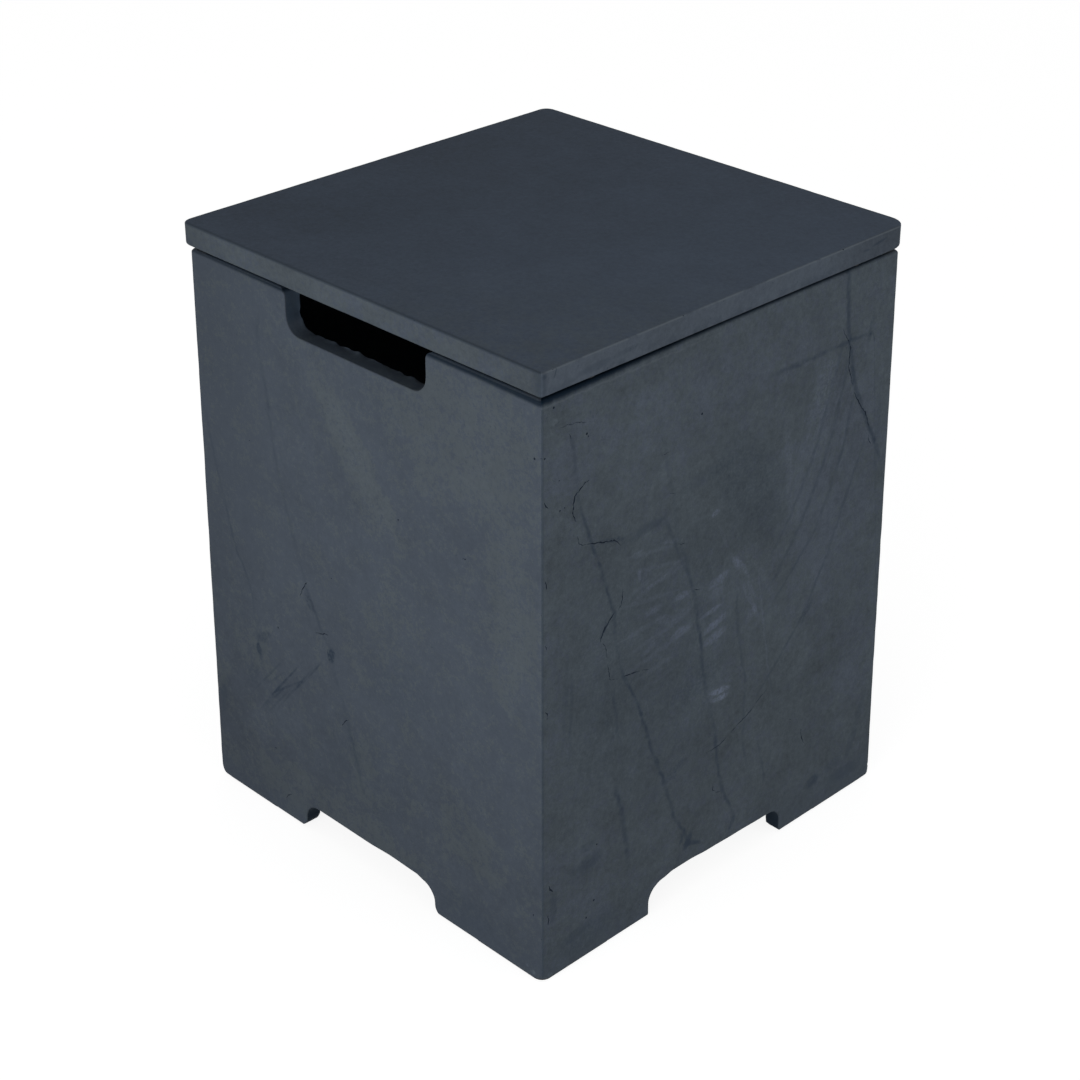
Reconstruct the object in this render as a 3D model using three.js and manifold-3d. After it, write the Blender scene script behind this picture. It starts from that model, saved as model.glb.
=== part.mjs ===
// A square side table of cast fibre concrete that hides an upright gas cylinder: a bottomless shell with
// hand slots in its rim and arches at its foot, and a loose slab lid that lifts straight off.
// Millimetres, +Z up. The origin is the centre of the footprint on the floor. The front is the -Y side.

import * as THREE from 'three';
import Module from 'manifold-3d';
import { mergeVertices } from 'three/addons/utils/BufferGeometryUtils.js';

const wasm = await Module();
wasm.setup();

// Shell
const footSide = 406;            // outside width at the floor
const rimSide = 398;             // outside width at the rim: the walls lean in a little, to leave the mould
const shellHeight = 497;         // foot to rim, without the pads under the feet
const wallThickness = 15;
const shellCornerRadius = 6;     // the four upright edges outside
const cavityCornerRadius = 13;   // the four upright corners inside
const shellEdgeRound = 2.5;      // outer and inner edges of the rim and the foot

// Hand slots, in the rim of the front and back walls
const slotWidth = 160;
const slotDepth = 36;
const slotCornerRadius = 15;
const slotMouthRound = 7;        // where the slot's sides meet the rim

// Arches, in the foot of all four walls
const archWidth = 162;
const archHeight = 25;
const archCornerRadius = 19;
const archMouthRound = 4;        // where the arch's sides meet the ground

// Lid
const lidSide = 406;
const lidThickness = 19;
const lidCornerRadius = 7;
const lidEdgeRound = 1.6;

// At the ends, where the edges are rounded, an upright corner keeps at least this share of its radius
const leastCornerShare = 0.5;

// Rubber pads between lid and rim
const bumperDiameter = 11;
const bumperHeight = 3.7;
const bumperEdgeRound = 0.8;
const bumperFromCorner = 52;     // along the side wall, from the rim's outer corner

// Rubber pads under the feet
const padThickness = 2;
const padWidth = 10;
const padLegLength = 74;
const padCornerRadius = 4;
const padEndRadius = 2;
const padSetback = 2.8;          // from the foot's outer face

// Corner cleats under the lid
const cleatLegLength = 56;
const cleatLegWidth = 15;
const cleatDepth = 16;
const cleatCornerRadius = 11;    // outer corner, inside the shell's own rounded corner
const cleatEndRadius = 3;
const cleatEdgeRound = 1.2;
const cleatPlay = 4;             // between a cleat and the wall of the cavity

// Screws that hold the cleats, and the inserts that take them
const screwDiameter = 5;
const screwHeadDiameter = 9.5;
const screwHeadHeight = 3.2;
const screwReach = 12;           // how far a screw runs into the lid
const screwTipLength = 1.5;
const screwCrownShare = 0.7;      // of a quarter turn that the dome of the head takes: the rest is flat
const screwFromCorner = 37;      // along the cleat's leg, from its outer corner
const counterboreDepth = 5;
const counterboreDiameter = 12;
const insertDiameter = 8;
const insertLength = 14;

// Clearances
const restGap = 0.3;             // between a bumper and the rim that it stands on
const fitGap = 0.3;              // round a screw or an insert in its hole
const overrun = 3;               // how far a cutting shape runs past what it cuts

// Facets: the steps of a rounded edge, of a screw's crown and of a full turn
const edgeSteps = 3;
const crownSteps = 4;
const turnSteps = 16;

// Facets of an outline's arcs, each of which takes two steps for each of these
const cornerSteps = 4;
const notchSteps = 5;
const smallCornerSteps = 2;

// Heights of the main planes
const shellFoot = padThickness;
const rimTop = shellFoot + shellHeight;
const lidUnderside = rimTop + restGap + bumperHeight;
const wallLean = (footSide - rimSide) / 2;

// Finishes
const concreteFinish = new THREE.MeshStandardMaterial({ color: 0x48525e, roughness: 0.72, metalness: 0 });
const rubberFinish = new THREE.MeshStandardMaterial({ color: 0x16171a, roughness: 0.85, metalness: 0 });
const mouldedFinish = new THREE.MeshStandardMaterial({ color: 0x1c1e21, roughness: 0.6, metalness: 0 });
const steelFinish = new THREE.MeshStandardMaterial({ color: 0xa9abad, roughness: 0.35, metalness: 0.9 });
const brassFinish = new THREE.MeshStandardMaterial({ color: 0xb08d4c, roughness: 0.4, metalness: 0.9 });

// A closed three.js geometry as a solid that can be cut
function toSolid(geometry) {
  const bare = geometry.clone();
  bare.deleteAttribute('normal');
  bare.deleteAttribute('uv');
  const merged = mergeVertices(bare);
  return new wasm.Manifold(new wasm.Mesh({
    numProp: 3,
    vertProperties: new Float32Array(merged.attributes.position.array),
    triVerts: new Uint32Array(merged.index.array),
  }));
}

// A solid back as a geometry
function toGeometry(solid) {
  const mesh = solid.getMesh();
  const geometry = new THREE.BufferGeometry();
  const positions = new Float32Array(mesh.vertProperties);
  geometry.setAttribute('position', new THREE.BufferAttribute(positions, mesh.numProp));
  geometry.setIndex(new THREE.BufferAttribute(new Uint32Array(mesh.triVerts), 1));
  geometry.computeVertexNormals();
  return geometry;
}

function cutAway(geometry, cutters) {
  let solid = toSolid(geometry);
  for (const cutter of cutters) {
    solid = solid.subtract(toSolid(cutter));
  }
  return toGeometry(solid);
}

// A square outline with rounded corners, as points that run anticlockwise from the +X side
function squareOutline(halfSide, radius) {
  const shape = new THREE.Shape();
  const flat = halfSide - radius;
  shape.absarc(flat, flat, radius, 0, Math.PI / 2);
  shape.absarc(-flat, flat, radius, Math.PI / 2, Math.PI);
  shape.absarc(-flat, -flat, radius, Math.PI, 3 * Math.PI / 2);
  shape.absarc(flat, -flat, radius, 3 * Math.PI / 2, 2 * Math.PI);
  return shape.getPoints(cornerSteps);
}

// A closed skin through square outlines at rising heights: each level has a z, a halfSide and a radius
function loftSquares(levels) {
  const rings = levels.map((level) => squareOutline(level.halfSide, level.radius));
  const count = rings[0].length;
  const positions = [];
  levels.forEach((level, row) => {
    rings[row].forEach((point) => positions.push(point.x, point.y, level.z));
  });
  const index = [];
  for (let row = 0; row < levels.length - 1; row += 1) {
    for (let i = 0; i < count; i += 1) {
      const next = (i + 1) % count;
      const low = row * count;
      const high = low + count;
      index.push(low + i, low + next, high + next, low + i, high + next, high + i);
    }
  }
  const bottomCentre = positions.length / 3;
  const topCentre = bottomCentre + 1;
  positions.push(0, 0, levels[0].z, 0, 0, levels.at(-1).z);
  const topRow = (levels.length - 1) * count;
  for (let i = 0; i < count; i += 1) {
    const next = (i + 1) % count;
    index.push(bottomCentre, next, i, topCentre, topRow + i, topRow + next);
  }
  const geometry = new THREE.BufferGeometry();
  geometry.setAttribute('position', new THREE.Float32BufferAttribute(positions, 3));
  geometry.setIndex(index);
  return geometry;
}

// The levels of a quarter round between an upright wall and a flat end, from the end inwards
function roundedEnd(endZ, inwards, halfSideAt, radius, round) {
  const levels = [];
  for (let step = 0; step <= edgeSteps; step += 1) {
    const angle = (step / edgeSteps) * Math.PI / 2;
    const inset = round * (1 - Math.sin(angle));
    const z = endZ + inwards * round * (1 - Math.cos(angle));
    const cornerRadius = Math.max(radius - inset, leastCornerShare * radius);
    levels.push({ z, halfSide: halfSideAt(z) - inset, radius: cornerRadius });
  }
  return levels;
}

// A box with rounded upright corners and rounded edges at both ends
function roundedBlock(bottomZ, topZ, halfSideAt, radius, round) {
  const low = roundedEnd(bottomZ, 1, halfSideAt, radius, round);
  const high = roundedEnd(topZ, -1, halfSideAt, radius, round).reverse();
  return loftSquares([...low, ...high]);
}

// Half the shell's outside width at a height
function shellHalf(z) {
  return footSide / 2 - wallLean * (z - shellFoot) / shellHeight;
}

function cavityHalf(z) {
  return shellHalf(z) - wallThickness;
}

// The cavity right through the shell, flared at both ends so that the inner edges come out rounded
function cavityCutter() {
  const flare = (endZ, inwards) => {
    const levels = [];
    for (let step = 0; step <= edgeSteps; step += 1) {
      const angle = (step / edgeSteps) * Math.PI / 2;
      const outset = shellEdgeRound * (1 - Math.sin(angle));
      const z = endZ + inwards * shellEdgeRound * (1 - Math.cos(angle));
      levels.push({ z, halfSide: cavityHalf(z) + outset, radius: cavityCornerRadius + outset });
    }
    return levels;
  };
  const low = flare(shellFoot, 1);
  const high = flare(rimTop, -1).reverse();
  const below = { ...low[0], z: shellFoot - overrun };
  const above = { ...high.at(-1), z: rimTop + overrun };
  return loftSquares([below, ...low, ...high, above]);
}

// The outline of an open notch of a given depth below the line y = 0, with rounded inner corners and a
// rounded mouth. It runs past that line by the overrun.
function notchOutline(width, depth, cornerRadius, mouthRound) {
  const half = width / 2;
  const shape = new THREE.Shape();
  shape.moveTo(-half - mouthRound, overrun);
  shape.lineTo(-half - mouthRound, 0);
  shape.absarc(-half - mouthRound, -mouthRound, mouthRound, Math.PI / 2, 0, true);
  shape.lineTo(-half, -depth + cornerRadius);
  shape.absarc(-half + cornerRadius, -depth + cornerRadius, cornerRadius, Math.PI, 3 * Math.PI / 2, false);
  const farCorner = half - cornerRadius;
  shape.lineTo(farCorner, -depth);
  shape.absarc(farCorner, -depth + cornerRadius, cornerRadius, 3 * Math.PI / 2, 2 * Math.PI, false);
  shape.lineTo(half, -mouthRound);
  shape.absarc(half + mouthRound, -mouthRound, mouthRound, Math.PI, Math.PI / 2, true);
  shape.lineTo(half + mouthRound, overrun);
  shape.closePath();
  return shape;
}

// A notch run right through the shell along Y
function notchCutter(outline) {
  const length = Math.max(footSide, rimSide) + 2 * overrun;
  const bar = new THREE.ExtrudeGeometry(outline, {
    depth: length,
    bevelEnabled: false,
    curveSegments: notchSteps,
  });
  return bar.translate(0, 0, -length / 2).rotateX(Math.PI / 2);
}

function makeShell() {
  const body = roundedBlock(shellFoot, rimTop, shellHalf, shellCornerRadius, shellEdgeRound);
  const slots = notchCutter(notchOutline(slotWidth, slotDepth, slotCornerRadius, slotMouthRound));
  slots.translate(0, 0, rimTop);
  const archOutline = notchOutline(archWidth, archHeight, archCornerRadius, archMouthRound);
  const arches = [0, Math.PI / 2].map((turn) => (
    notchCutter(archOutline).rotateX(Math.PI).rotateZ(turn).translate(0, 0, shellFoot)
  ));
  return cutAway(body, [cavityCutter(), slots, ...arches]);
}

// Where the pieces at the four corners sit, as signs of X and Y
const corners = [
  { name: 'front_left', x: -1, y: -1 },
  { name: 'front_right', x: 1, y: -1 },
  { name: 'back_right', x: 1, y: 1 },
  { name: 'back_left', x: -1, y: 1 },
];

// Turns a piece that is drawn for the +X +Y corner round to another corner
function cornerTurn(corner) {
  return Math.atan2(corner.y, corner.x) - Math.PI / 4;
}

// An L drawn for the +X +Y corner: its outer corner is at the origin and its legs run along -X and -Y
function cornerOutline(legLength, legWidth, outerRadius, endRadius) {
  const shape = new THREE.Shape();
  shape.absarc(-outerRadius, -outerRadius, outerRadius, 0, Math.PI / 2, false);
  shape.absarc(-legLength + endRadius, -endRadius, endRadius, Math.PI / 2, Math.PI, false);
  shape.absarc(-legLength + endRadius, -legWidth + endRadius, endRadius, Math.PI, 3 * Math.PI / 2, false);
  shape.lineTo(-legWidth - endRadius, -legWidth);
  shape.absarc(-legWidth - endRadius, -legWidth - endRadius, endRadius, Math.PI / 2, 0, true);
  shape.absarc(-legWidth + endRadius, -legLength + endRadius, endRadius, Math.PI, 3 * Math.PI / 2, false);
  shape.absarc(-endRadius, -legLength + endRadius, endRadius, 3 * Math.PI / 2, 2 * Math.PI, false);
  shape.closePath();
  return shape;
}

// The two screw places on a cleat, from its outer corner
const screwPlaces = [
  { name: 'a', x: -screwFromCorner, y: -cleatLegWidth / 2 },
  { name: 'b', x: -cleatLegWidth / 2, y: -screwFromCorner },
];

// A plain round cutter that stands on z = 0
function roundCutter(diameter, height) {
  const radius = diameter / 2;
  return new THREE.CylinderGeometry(radius, radius, height, turnSteps)
    .rotateX(Math.PI / 2)
    .translate(0, 0, height / 2);
}

// A cleat hangs from z = 0, its screw heads sunk in from below
function makeCleat() {
  const outline = cornerOutline(
    cleatLegLength - 2 * cleatEdgeRound,
    cleatLegWidth - 2 * cleatEdgeRound,
    cleatCornerRadius - cleatEdgeRound,
    cleatEndRadius - cleatEdgeRound,
  );
  const block = new THREE.ExtrudeGeometry(outline, {
    depth: cleatDepth - cleatEdgeRound,
    bevelThickness: cleatEdgeRound,
    bevelSize: cleatEdgeRound,
    bevelSegments: 2,
    curveSegments: smallCornerSteps,
  });
  block.translate(-cleatEdgeRound, -cleatEdgeRound, -cleatDepth + cleatEdgeRound);
  const roomAbove = roundCutter(2 * (cleatLegLength + cleatLegWidth), overrun + cleatEdgeRound);
  const cutters = [roomAbove];
  for (const place of screwPlaces) {
    const hole = roundCutter(screwDiameter + 2 * fitGap, cleatDepth + 2 * overrun);
    cutters.push(hole.translate(place.x, place.y, -cleatDepth - overrun));
    const counterbore = roundCutter(counterboreDiameter, counterboreDepth + overrun);
    cutters.push(counterbore.translate(place.x, place.y, -cleatDepth - overrun));
  }
  return cutAway(block, cutters);
}

// A pan head screw that points up. z = 0 is the seat under its head.
function makeScrew() {
  const shankLength = cleatDepth - counterboreDepth + screwReach;
  const shankRadius = screwDiameter / 2;
  const headRadius = screwHeadDiameter / 2;
  const profile = [new THREE.Vector2(0, -screwHeadHeight)];
  const crownStart = -screwCrownShare * Math.PI / 2;
  const crown = new THREE.EllipseCurve(0, 0, headRadius, screwHeadHeight, crownStart, 0);
  profile.push(...crown.getPoints(crownSteps));
  profile.push(new THREE.Vector2(shankRadius, 0));
  profile.push(new THREE.Vector2(shankRadius, shankLength - screwTipLength));
  profile.push(new THREE.Vector2(0, shankLength));
  return new THREE.LatheGeometry(profile, turnSteps).rotateX(Math.PI / 2);
}

// A threaded insert as a plain sleeve that stands on z = 0
function makeInsert() {
  const outer = insertDiameter / 2;
  const inner = screwDiameter / 2 + fitGap;
  const profile = [
    new THREE.Vector2(inner, 0),
    new THREE.Vector2(outer, 0),
    new THREE.Vector2(outer, insertLength),
    new THREE.Vector2(inner, insertLength),
    new THREE.Vector2(inner, 0),
  ];
  return new THREE.LatheGeometry(profile, turnSteps).rotateX(Math.PI / 2);
}

// A round rubber pad that stands on z = 0, with rounded lower edge
function makeBumper() {
  const radius = bumperDiameter / 2;
  const profile = [new THREE.Vector2(0, 0)];
  const foot = new THREE.EllipseCurve(
    radius - bumperEdgeRound, bumperEdgeRound, bumperEdgeRound, bumperEdgeRound, -Math.PI / 2, 0,
  );
  profile.push(...foot.getPoints(edgeSteps));
  profile.push(new THREE.Vector2(radius, bumperHeight));
  profile.push(new THREE.Vector2(0, bumperHeight));
  return new THREE.LatheGeometry(profile, turnSteps).rotateX(Math.PI / 2);
}

function makeFootPad() {
  const outline = cornerOutline(padLegLength, padWidth, padCornerRadius, padEndRadius);
  return new THREE.ExtrudeGeometry(outline, {
    depth: padThickness,
    bevelEnabled: false,
    curveSegments: smallCornerSteps,
  });
}

function makeLid(insertPlaces) {
  const lidTop = lidUnderside + lidThickness;
  const slab = roundedBlock(lidUnderside, lidTop, () => lidSide / 2, lidCornerRadius, lidEdgeRound);
  const holes = insertPlaces.map((place) => (
    roundCutter(insertDiameter + 2 * fitGap, insertLength + fitGap + overrun)
      .translate(place.x, place.y, lidUnderside - overrun)
  ));
  return cutAway(slab, holes);
}

const table = new THREE.Group();

function addPiece(name, geometry, finish, parent = table) {
  const mesh = new THREE.Mesh(geometry, finish);
  mesh.name = name;
  parent.add(mesh);
  return mesh;
}

addPiece('shell', makeShell(), concreteFinish);

// Each cleat's outer corner, in from the cavity's corner by the play
const cleatCorner = cavityHalf(rimTop) - cleatPlay;
const padCorner = footSide / 2 - padSetback;
const bumperAcross = rimSide / 2 - wallThickness / 2;
const bumperAlong = rimSide / 2 - bumperFromCorner;

const cleatGeometry = makeCleat();
const screwGeometry = makeScrew();
const insertGeometry = makeInsert();
const bumperGeometry = makeBumper();
const padGeometry = makeFootPad();
const insertPlaces = [];

for (const corner of corners) {
  const turn = cornerTurn(corner);

  const cleatGroup = new THREE.Group();
  cleatGroup.position.set(corner.x * cleatCorner, corner.y * cleatCorner, lidUnderside);
  cleatGroup.rotation.z = turn;
  table.add(cleatGroup);
  addPiece(`lid_cleat_${corner.name}`, cleatGeometry, mouldedFinish, cleatGroup);
  cleatGroup.updateMatrixWorld();
  for (const place of screwPlaces) {
    const seat = new THREE.Vector3(place.x, place.y, 0);
    const ending = `${corner.name}_${place.name}`;
    const screw = addPiece(`cleat_screw_${ending}`, screwGeometry, steelFinish, cleatGroup);
    screw.position.set(place.x, place.y, -cleatDepth + counterboreDepth);
    const insert = addPiece(`cleat_insert_${ending}`, insertGeometry, brassFinish, cleatGroup);
    insert.position.copy(seat);
    insertPlaces.push(cleatGroup.localToWorld(seat.clone()));
  }

  const bumper = addPiece(`lid_bumper_${corner.name}`, bumperGeometry, rubberFinish);
  bumper.position.set(corner.x * bumperAcross, corner.y * bumperAlong, rimTop + restGap);

  const pad = addPiece(`foot_pad_${corner.name}`, padGeometry, rubberFinish);
  pad.position.set(corner.x * padCorner, corner.y * padCorner, 0);
  pad.rotation.z = turn;
}

addPiece('lid', makeLid(insertPlaces), concreteFinish);

export default table;
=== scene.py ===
"""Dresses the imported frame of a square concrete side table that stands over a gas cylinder.

The frame says where each piece lies. The operators build the cast shell, the slab lid and the small
fittings in metres, each with its finish, and then the stage. The front is -Y and +Z is up.
"""

import math
import random
from collections import namedtuple

import bmesh
import bpy
from mathutils import Matrix, Vector, noise


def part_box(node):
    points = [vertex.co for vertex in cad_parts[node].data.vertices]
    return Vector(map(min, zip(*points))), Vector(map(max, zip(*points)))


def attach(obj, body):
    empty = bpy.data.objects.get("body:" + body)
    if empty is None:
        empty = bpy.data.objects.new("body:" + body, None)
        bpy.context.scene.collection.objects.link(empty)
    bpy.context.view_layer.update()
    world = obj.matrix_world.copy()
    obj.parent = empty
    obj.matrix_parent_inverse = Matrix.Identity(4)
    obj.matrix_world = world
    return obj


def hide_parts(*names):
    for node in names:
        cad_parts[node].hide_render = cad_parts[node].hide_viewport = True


bl_info = {
    "name": "Concrete tank cover table",
    "version": (1, 0, 0),
    "blender": (4, 5, 0),
    "location": "3D View > Sidebar > Tank Table",
    "description": "Builds the cast shell, slab lid, fittings and stage of a concrete tank cover table",
    "category": "Object",
}

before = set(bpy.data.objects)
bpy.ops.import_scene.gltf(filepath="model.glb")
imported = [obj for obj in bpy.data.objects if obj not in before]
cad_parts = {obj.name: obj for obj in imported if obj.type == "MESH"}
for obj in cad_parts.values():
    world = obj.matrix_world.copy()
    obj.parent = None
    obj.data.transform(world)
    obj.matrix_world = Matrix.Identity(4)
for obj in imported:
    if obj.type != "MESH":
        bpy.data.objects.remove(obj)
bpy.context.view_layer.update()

MM = 0.001
QUARTER = math.pi / 2
FULL_TURN = 4 * QUARTER

# Main planes of the table, from the frame
SHELL_LOW, SHELL_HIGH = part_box("shell")
LID_LOW, LID_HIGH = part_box("lid")
FOOT_Z = SHELL_LOW.z
RIM_Z = SHELL_HIGH.z
FOOT_HALF = SHELL_HIGH.x
LID_HALF = LID_HIGH.x

CORNERS = ("front_left", "front_right", "back_right", "back_left")
SCREW_ENDINGS = ("a", "b")

# The front, right, back and left wall: the outward direction of each, and whether it is of the second
# pair. The front and the left wall have one set of marks, and the right and the back wall have another.
Wall = namedtuple("Wall", "outward second")
WALLS = (
    Wall(Vector((0, -1, 0)), False),
    Wall(Vector((1, 0, 0)), True),
    Wall(Vector((0, 1, 0)), True),
    Wall(Vector((-1, 0, 0)), False),
)

# Marks on the walls. Places are across the wall and up from the floor, in millimetres.
# A vein runs up the wall through (height, across, strength) points.
Vein = namedtuple("Vein", "half_width points")
# A crack is an open groove through (across, height) points.
Crack = namedtuple("Crack", "width depth points")
# A patch is a soft oval. Its strength is above zero where it darkens, and its angle is in degrees.
Patch = namedtuple("Patch", "across height half_length half_width angle strength")
# A pit is a small hole.
Pit = namedtuple("Pit", "across height radius")


def rows_of(kind, *rows):
    """Marks of one kind, from a row of values for each."""
    return tuple(kind(*row) for row in rows)


FIRST_VEINS = (
    Vein(2.7, (
        (474, -112, 0), (457, -116, 0.45), (432, -115, 0.25), (407, -109, 0.6), (382, -106, 0.5),
        (349, -102, 0.4), (320, -94, 0.3), (302, -89, 0.45), (275, -80, 0.3), (252, -72, 0.35),
        (237, -66, 0.8), (222, -58, 0.6), (209, -52, 0.45), (202, -45, 0.3), (195, -40, 0.9),
        (180, -39, 0.5), (150, -27, 0.3), (127, -20, 0.6), (110, -15, 0.7), (80, -7, 0.5), (56, -3, 0),
    )),
    Vein(2.2, (
        (376, -195, 0), (345, -189, 0.4), (312, -181, 0.45), (285, -173, 0.4), (252, -164, 0.68),
        (242, -161, 0.62), (227, -150, 0.62), (207, -142, 0.5),
        (190, -140, 0.19), (175, -137, 0.19), (158, -137, 0.81), (148, -135, 0.5), (130, -131, 0),
    )),
)
SECOND_VEINS = (
    Vein(2.4, (
        (470, -172, 0), (463, -170, 0.9), (451, -167, 0.68), (432, -165, 0.45), (407, -162, 0.45),
        (397, -159, 0.9), (369, -149, 1.2), (345, -139, 1.27), (315, -130, 1.12), (301, -125, 0.75),
        (280, -124, 0.38), (258, -119, 0.45), (244, -115, 0.9), (226, -106, 1.4), (210, -98, 1.4),
        (185, -89, 1.4), (157, -80, 1.4), (130, -69, 1.4), (117, -65, 1.05), (97, -57, 0.75),
        (84, -54, 1.12), (76, -49, 1.2), (65, -42, 1.4), (50, -36, 0.75), (40, -33, 0),
    )),
    Vein(2.6, (
        (447, -77, 0), (441, -76, 0.24), (415, -71, 0.24), (387, -66, 0.32), (379, -62, 0.4),
        (357, -59, 0.24), (332, -55, 0.28), (317, -47, 0.68), (297, -41, 0.59), (275, -35, 0.59),
        (260, -32, 1.33), (245, -29, 1.33), (232, -26, 1.06), (215, -25, 0.9), (185, -19, 0.69),
        (157, -11, 0.64), (142, -7, 0.74), (127, -5, 1.27), (115, -4, 1.06), (87, 2, 0.96),
        (75, 7, 1.17), (62, 14, 1.06), (50, 19, 0.64), (42, 21, 0),
    )),
    Vein(2.0, (
        (268, 13, 0), (255, 15, 0.54), (232, 16, 0.45), (212, 20, 0.63), (185, 26, 0.54),
        (170, 29, 0.63), (152, 27, 0.54), (135, 29, 0.63), (117, 27, 0.54), (100, 32, 0.45), (82, 36, 0),
    )),
    Vein(1.5, (
        (240, 46, 0), (225, 49, 0.15), (197, 54, 0.15), (177, 57, 0.2), (160, 60, 0.35), (142, 65, 0.2),
        (130, 67, 0),
    )),
    Vein(2.1, (
        (118, 45, 0), (107, 47, 0.5), (90, 52, 0.6), (72, 56, 0.7), (58, 59, 0),
    )),
    Vein(3.4, (
        (499, 135, 1.1), (480, 136, 1.1), (453, 138, 1.2), (435, 142, 1.3), (418, 145, 1.3), (400, 149, 1.3),
        (387, 155, 1.3), (372, 162, 1.3), (353, 172, 1.3), (340, 179, 1.3), (325, 187, 1.0), (308, 194, 0),
    )),
    Vein(2.4, (
        (236, -125, 0), (226, -124, 0.85), (212, -122, 0.55), (196, -121, 0.45), (186, -120, 0),
    )),
    Vein(2.2, (
        (275, -171, 0), (256, -169, 0.6), (238, -170, 0.5), (215, -171, 0.6), (190, -172, 0),
    )),
    Vein(3.2, (
        (150, -122, 0), (138, -120, 1.05), (124, -115, 1.4), (108, -113, 0.75), (92, -110, 1.05),
        (74, -108, 1.05), (60, -106, 0),
    )),
)
# Long arcs that a brush left at the upper right of the second pair
SECOND_ARCS = (
    Vein(2.9, (
        (445, 133, 0), (430, 129, 0.54), (395, 118, 0.62), (360, 106, 0.62), (325, 88, 0.54),
        (295, 68, 0.54), (270, 45, 0),
    )),
    Vein(3.1, (
        (430, 143, 0), (420, 140, 0.62), (395, 134, 0.72), (365, 126, 0.72), (335, 113, 0.72),
        (306, 97, 0.62), (282, 80, 0.54), (259, 62, 0.54), (235, 32, 0),
    )),
    Vein(2.9, (
        (392, 151, 0), (380, 148, 0.62), (341, 138, 0.72), (310, 124, 0.62), (282, 109, 0.54),
        (247, 73, 0.62), (223, 44, 0),
    )),
    Vein(2.6, (
        (350, 169, 0), (340, 166, 0.54), (306, 150, 0.62), (253, 126, 0.54), (206, 97, 0.72),
        (171, 62, 0.72), (142, 28, 0),
    )),
)
# Veins that run across the second pair, through (across, height, strength) points
SECOND_CROSS_VEINS = (
    Vein(2.6, (
        (38, 438, 0), (60, 439, 0.7), (84, 438, 1.1), (104, 438, 1.0), (130, 438, 1.0),
        (152, 438, 1.3), (172, 436, 1.2), (194, 437, 0.8),
    )),
    Vein(5.0, (
        (-122, 356, 0), (-108, 357, 0.7), (-90, 360, 0.63), (-70, 359, 0.77), (-56, 360, 0),
    )),
)

FIRST_PATCHES = rows_of(
    Patch,
    (-66, 231, 10, 4.5, 118, 1.3), (-41, 192.5, 7.5, 4.5, 75, 3.2), (-15, 112, 20, 7, 108, 0.45),
    (-129, 172, 12, 5, 35, 1.2), (-137, 157, 6, 3.5, 100, 2.5), (-147, 126, 17, 7, 65, 0.7),
    (40, 196, 46, 28, 20, 0.35), (120, 112, 26, 16, 60, 0.12), (118, 24, 30, 16, -10, 0.4),
    (-122, 92, 48, 20, 35, -0.32), (0, 100, 60, 40, 0, 0.22), (193, 8, 3, 2.4, 0, -1.8),
    (186, 12, 2, 2, 0, -1.4), (-4, 384, 82, 17, -51, -0.35), (140, 435, 70, 45, 0, -0.15),
    (168, 300, 75, 20, 90, -0.25), (20, 372, 60, 30, 125, -0.1),
)
SECOND_PATCHES = rows_of(
    Patch,
    (-131, 207, 6, 4, 80, 0.42), (-155, 87, 20, 8, 0, 0.6), (-150, 24, 32, 13, 12, 0.7),
    (28, 350, 62, 34, 125, 0.7), (-22, 380, 36, 7, 6, 0.5), (-55, 128, 15, 5, 25, 0.8),
    (-30, 200, 32, 12, 15, 0.4), (150, 37, 12, 6, 0, 0.8), (104, 210, 13, 3, 52, 1.05),
    (-75, 230, 120, 95, 80, 0.42), (-128, 364, 16, 2.4, -14, 1.4), (-134, 293, 12, 2.4, 52, 0.9),
    (-3, 176, 14, 8, -8, -0.8), (112, 405, 34, 14, 75, -1.0), (-186, 479, 4, 3, 0, -1.2),
    (96, 158, 26, 11, 50, -0.35), (-152, 275, 135, 42, 90, 0.22), (-70, 450, 110, 30, 0, -0.25),
    (165, 460, 40, 36, 0, -0.22), (150, 90, 50, 40, 0, -0.16), (-160, 440, 34, 30, 0, -0.14),
    (-194, 6, 3, 2.4, 0, -1.6),
)

# Dark smears, in the colour of the veins
FIRST_SMEARS = rows_of(
    Patch,
    (-192, 85, 28, 6, 75, 0.5), (-197, 152, 26, 4, 90, 0.3), (-118, 118, 24, 4, 48, 0.35),
    (-133, 160, 16, 6, 60, 0.35),
)
SECOND_SMEARS = rows_of(
    Patch,
    (-36.5, 52, 9, 4, 60, 1.4), (-30, 47, 10, 2.5, -25, 1.35), (-44, 60, 7, 2.2, 70, 1.35),
    (17.5, 42, 7, 3, 70, 1.35), (-150, 92, 13, 7, 10, 0.75), (-165, 30, 17, 5, 10, 0.75),
    (-152, 106, 9, 4, 0, 0.68), (122, 33, 9, 6, 10, 1.2), (165, 22, 24, 8, 0, 0.68),
    (178, 62, 32, 5, 70, 0.52), (-190, 70, 15, 4, 90, 0.68), (184, 340, 40, 4, 90, 0.45),
    (168, 443, 14, 3, 80, 0.9), (-176, 250, 40, 3, 86, 0.38),
)

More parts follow.
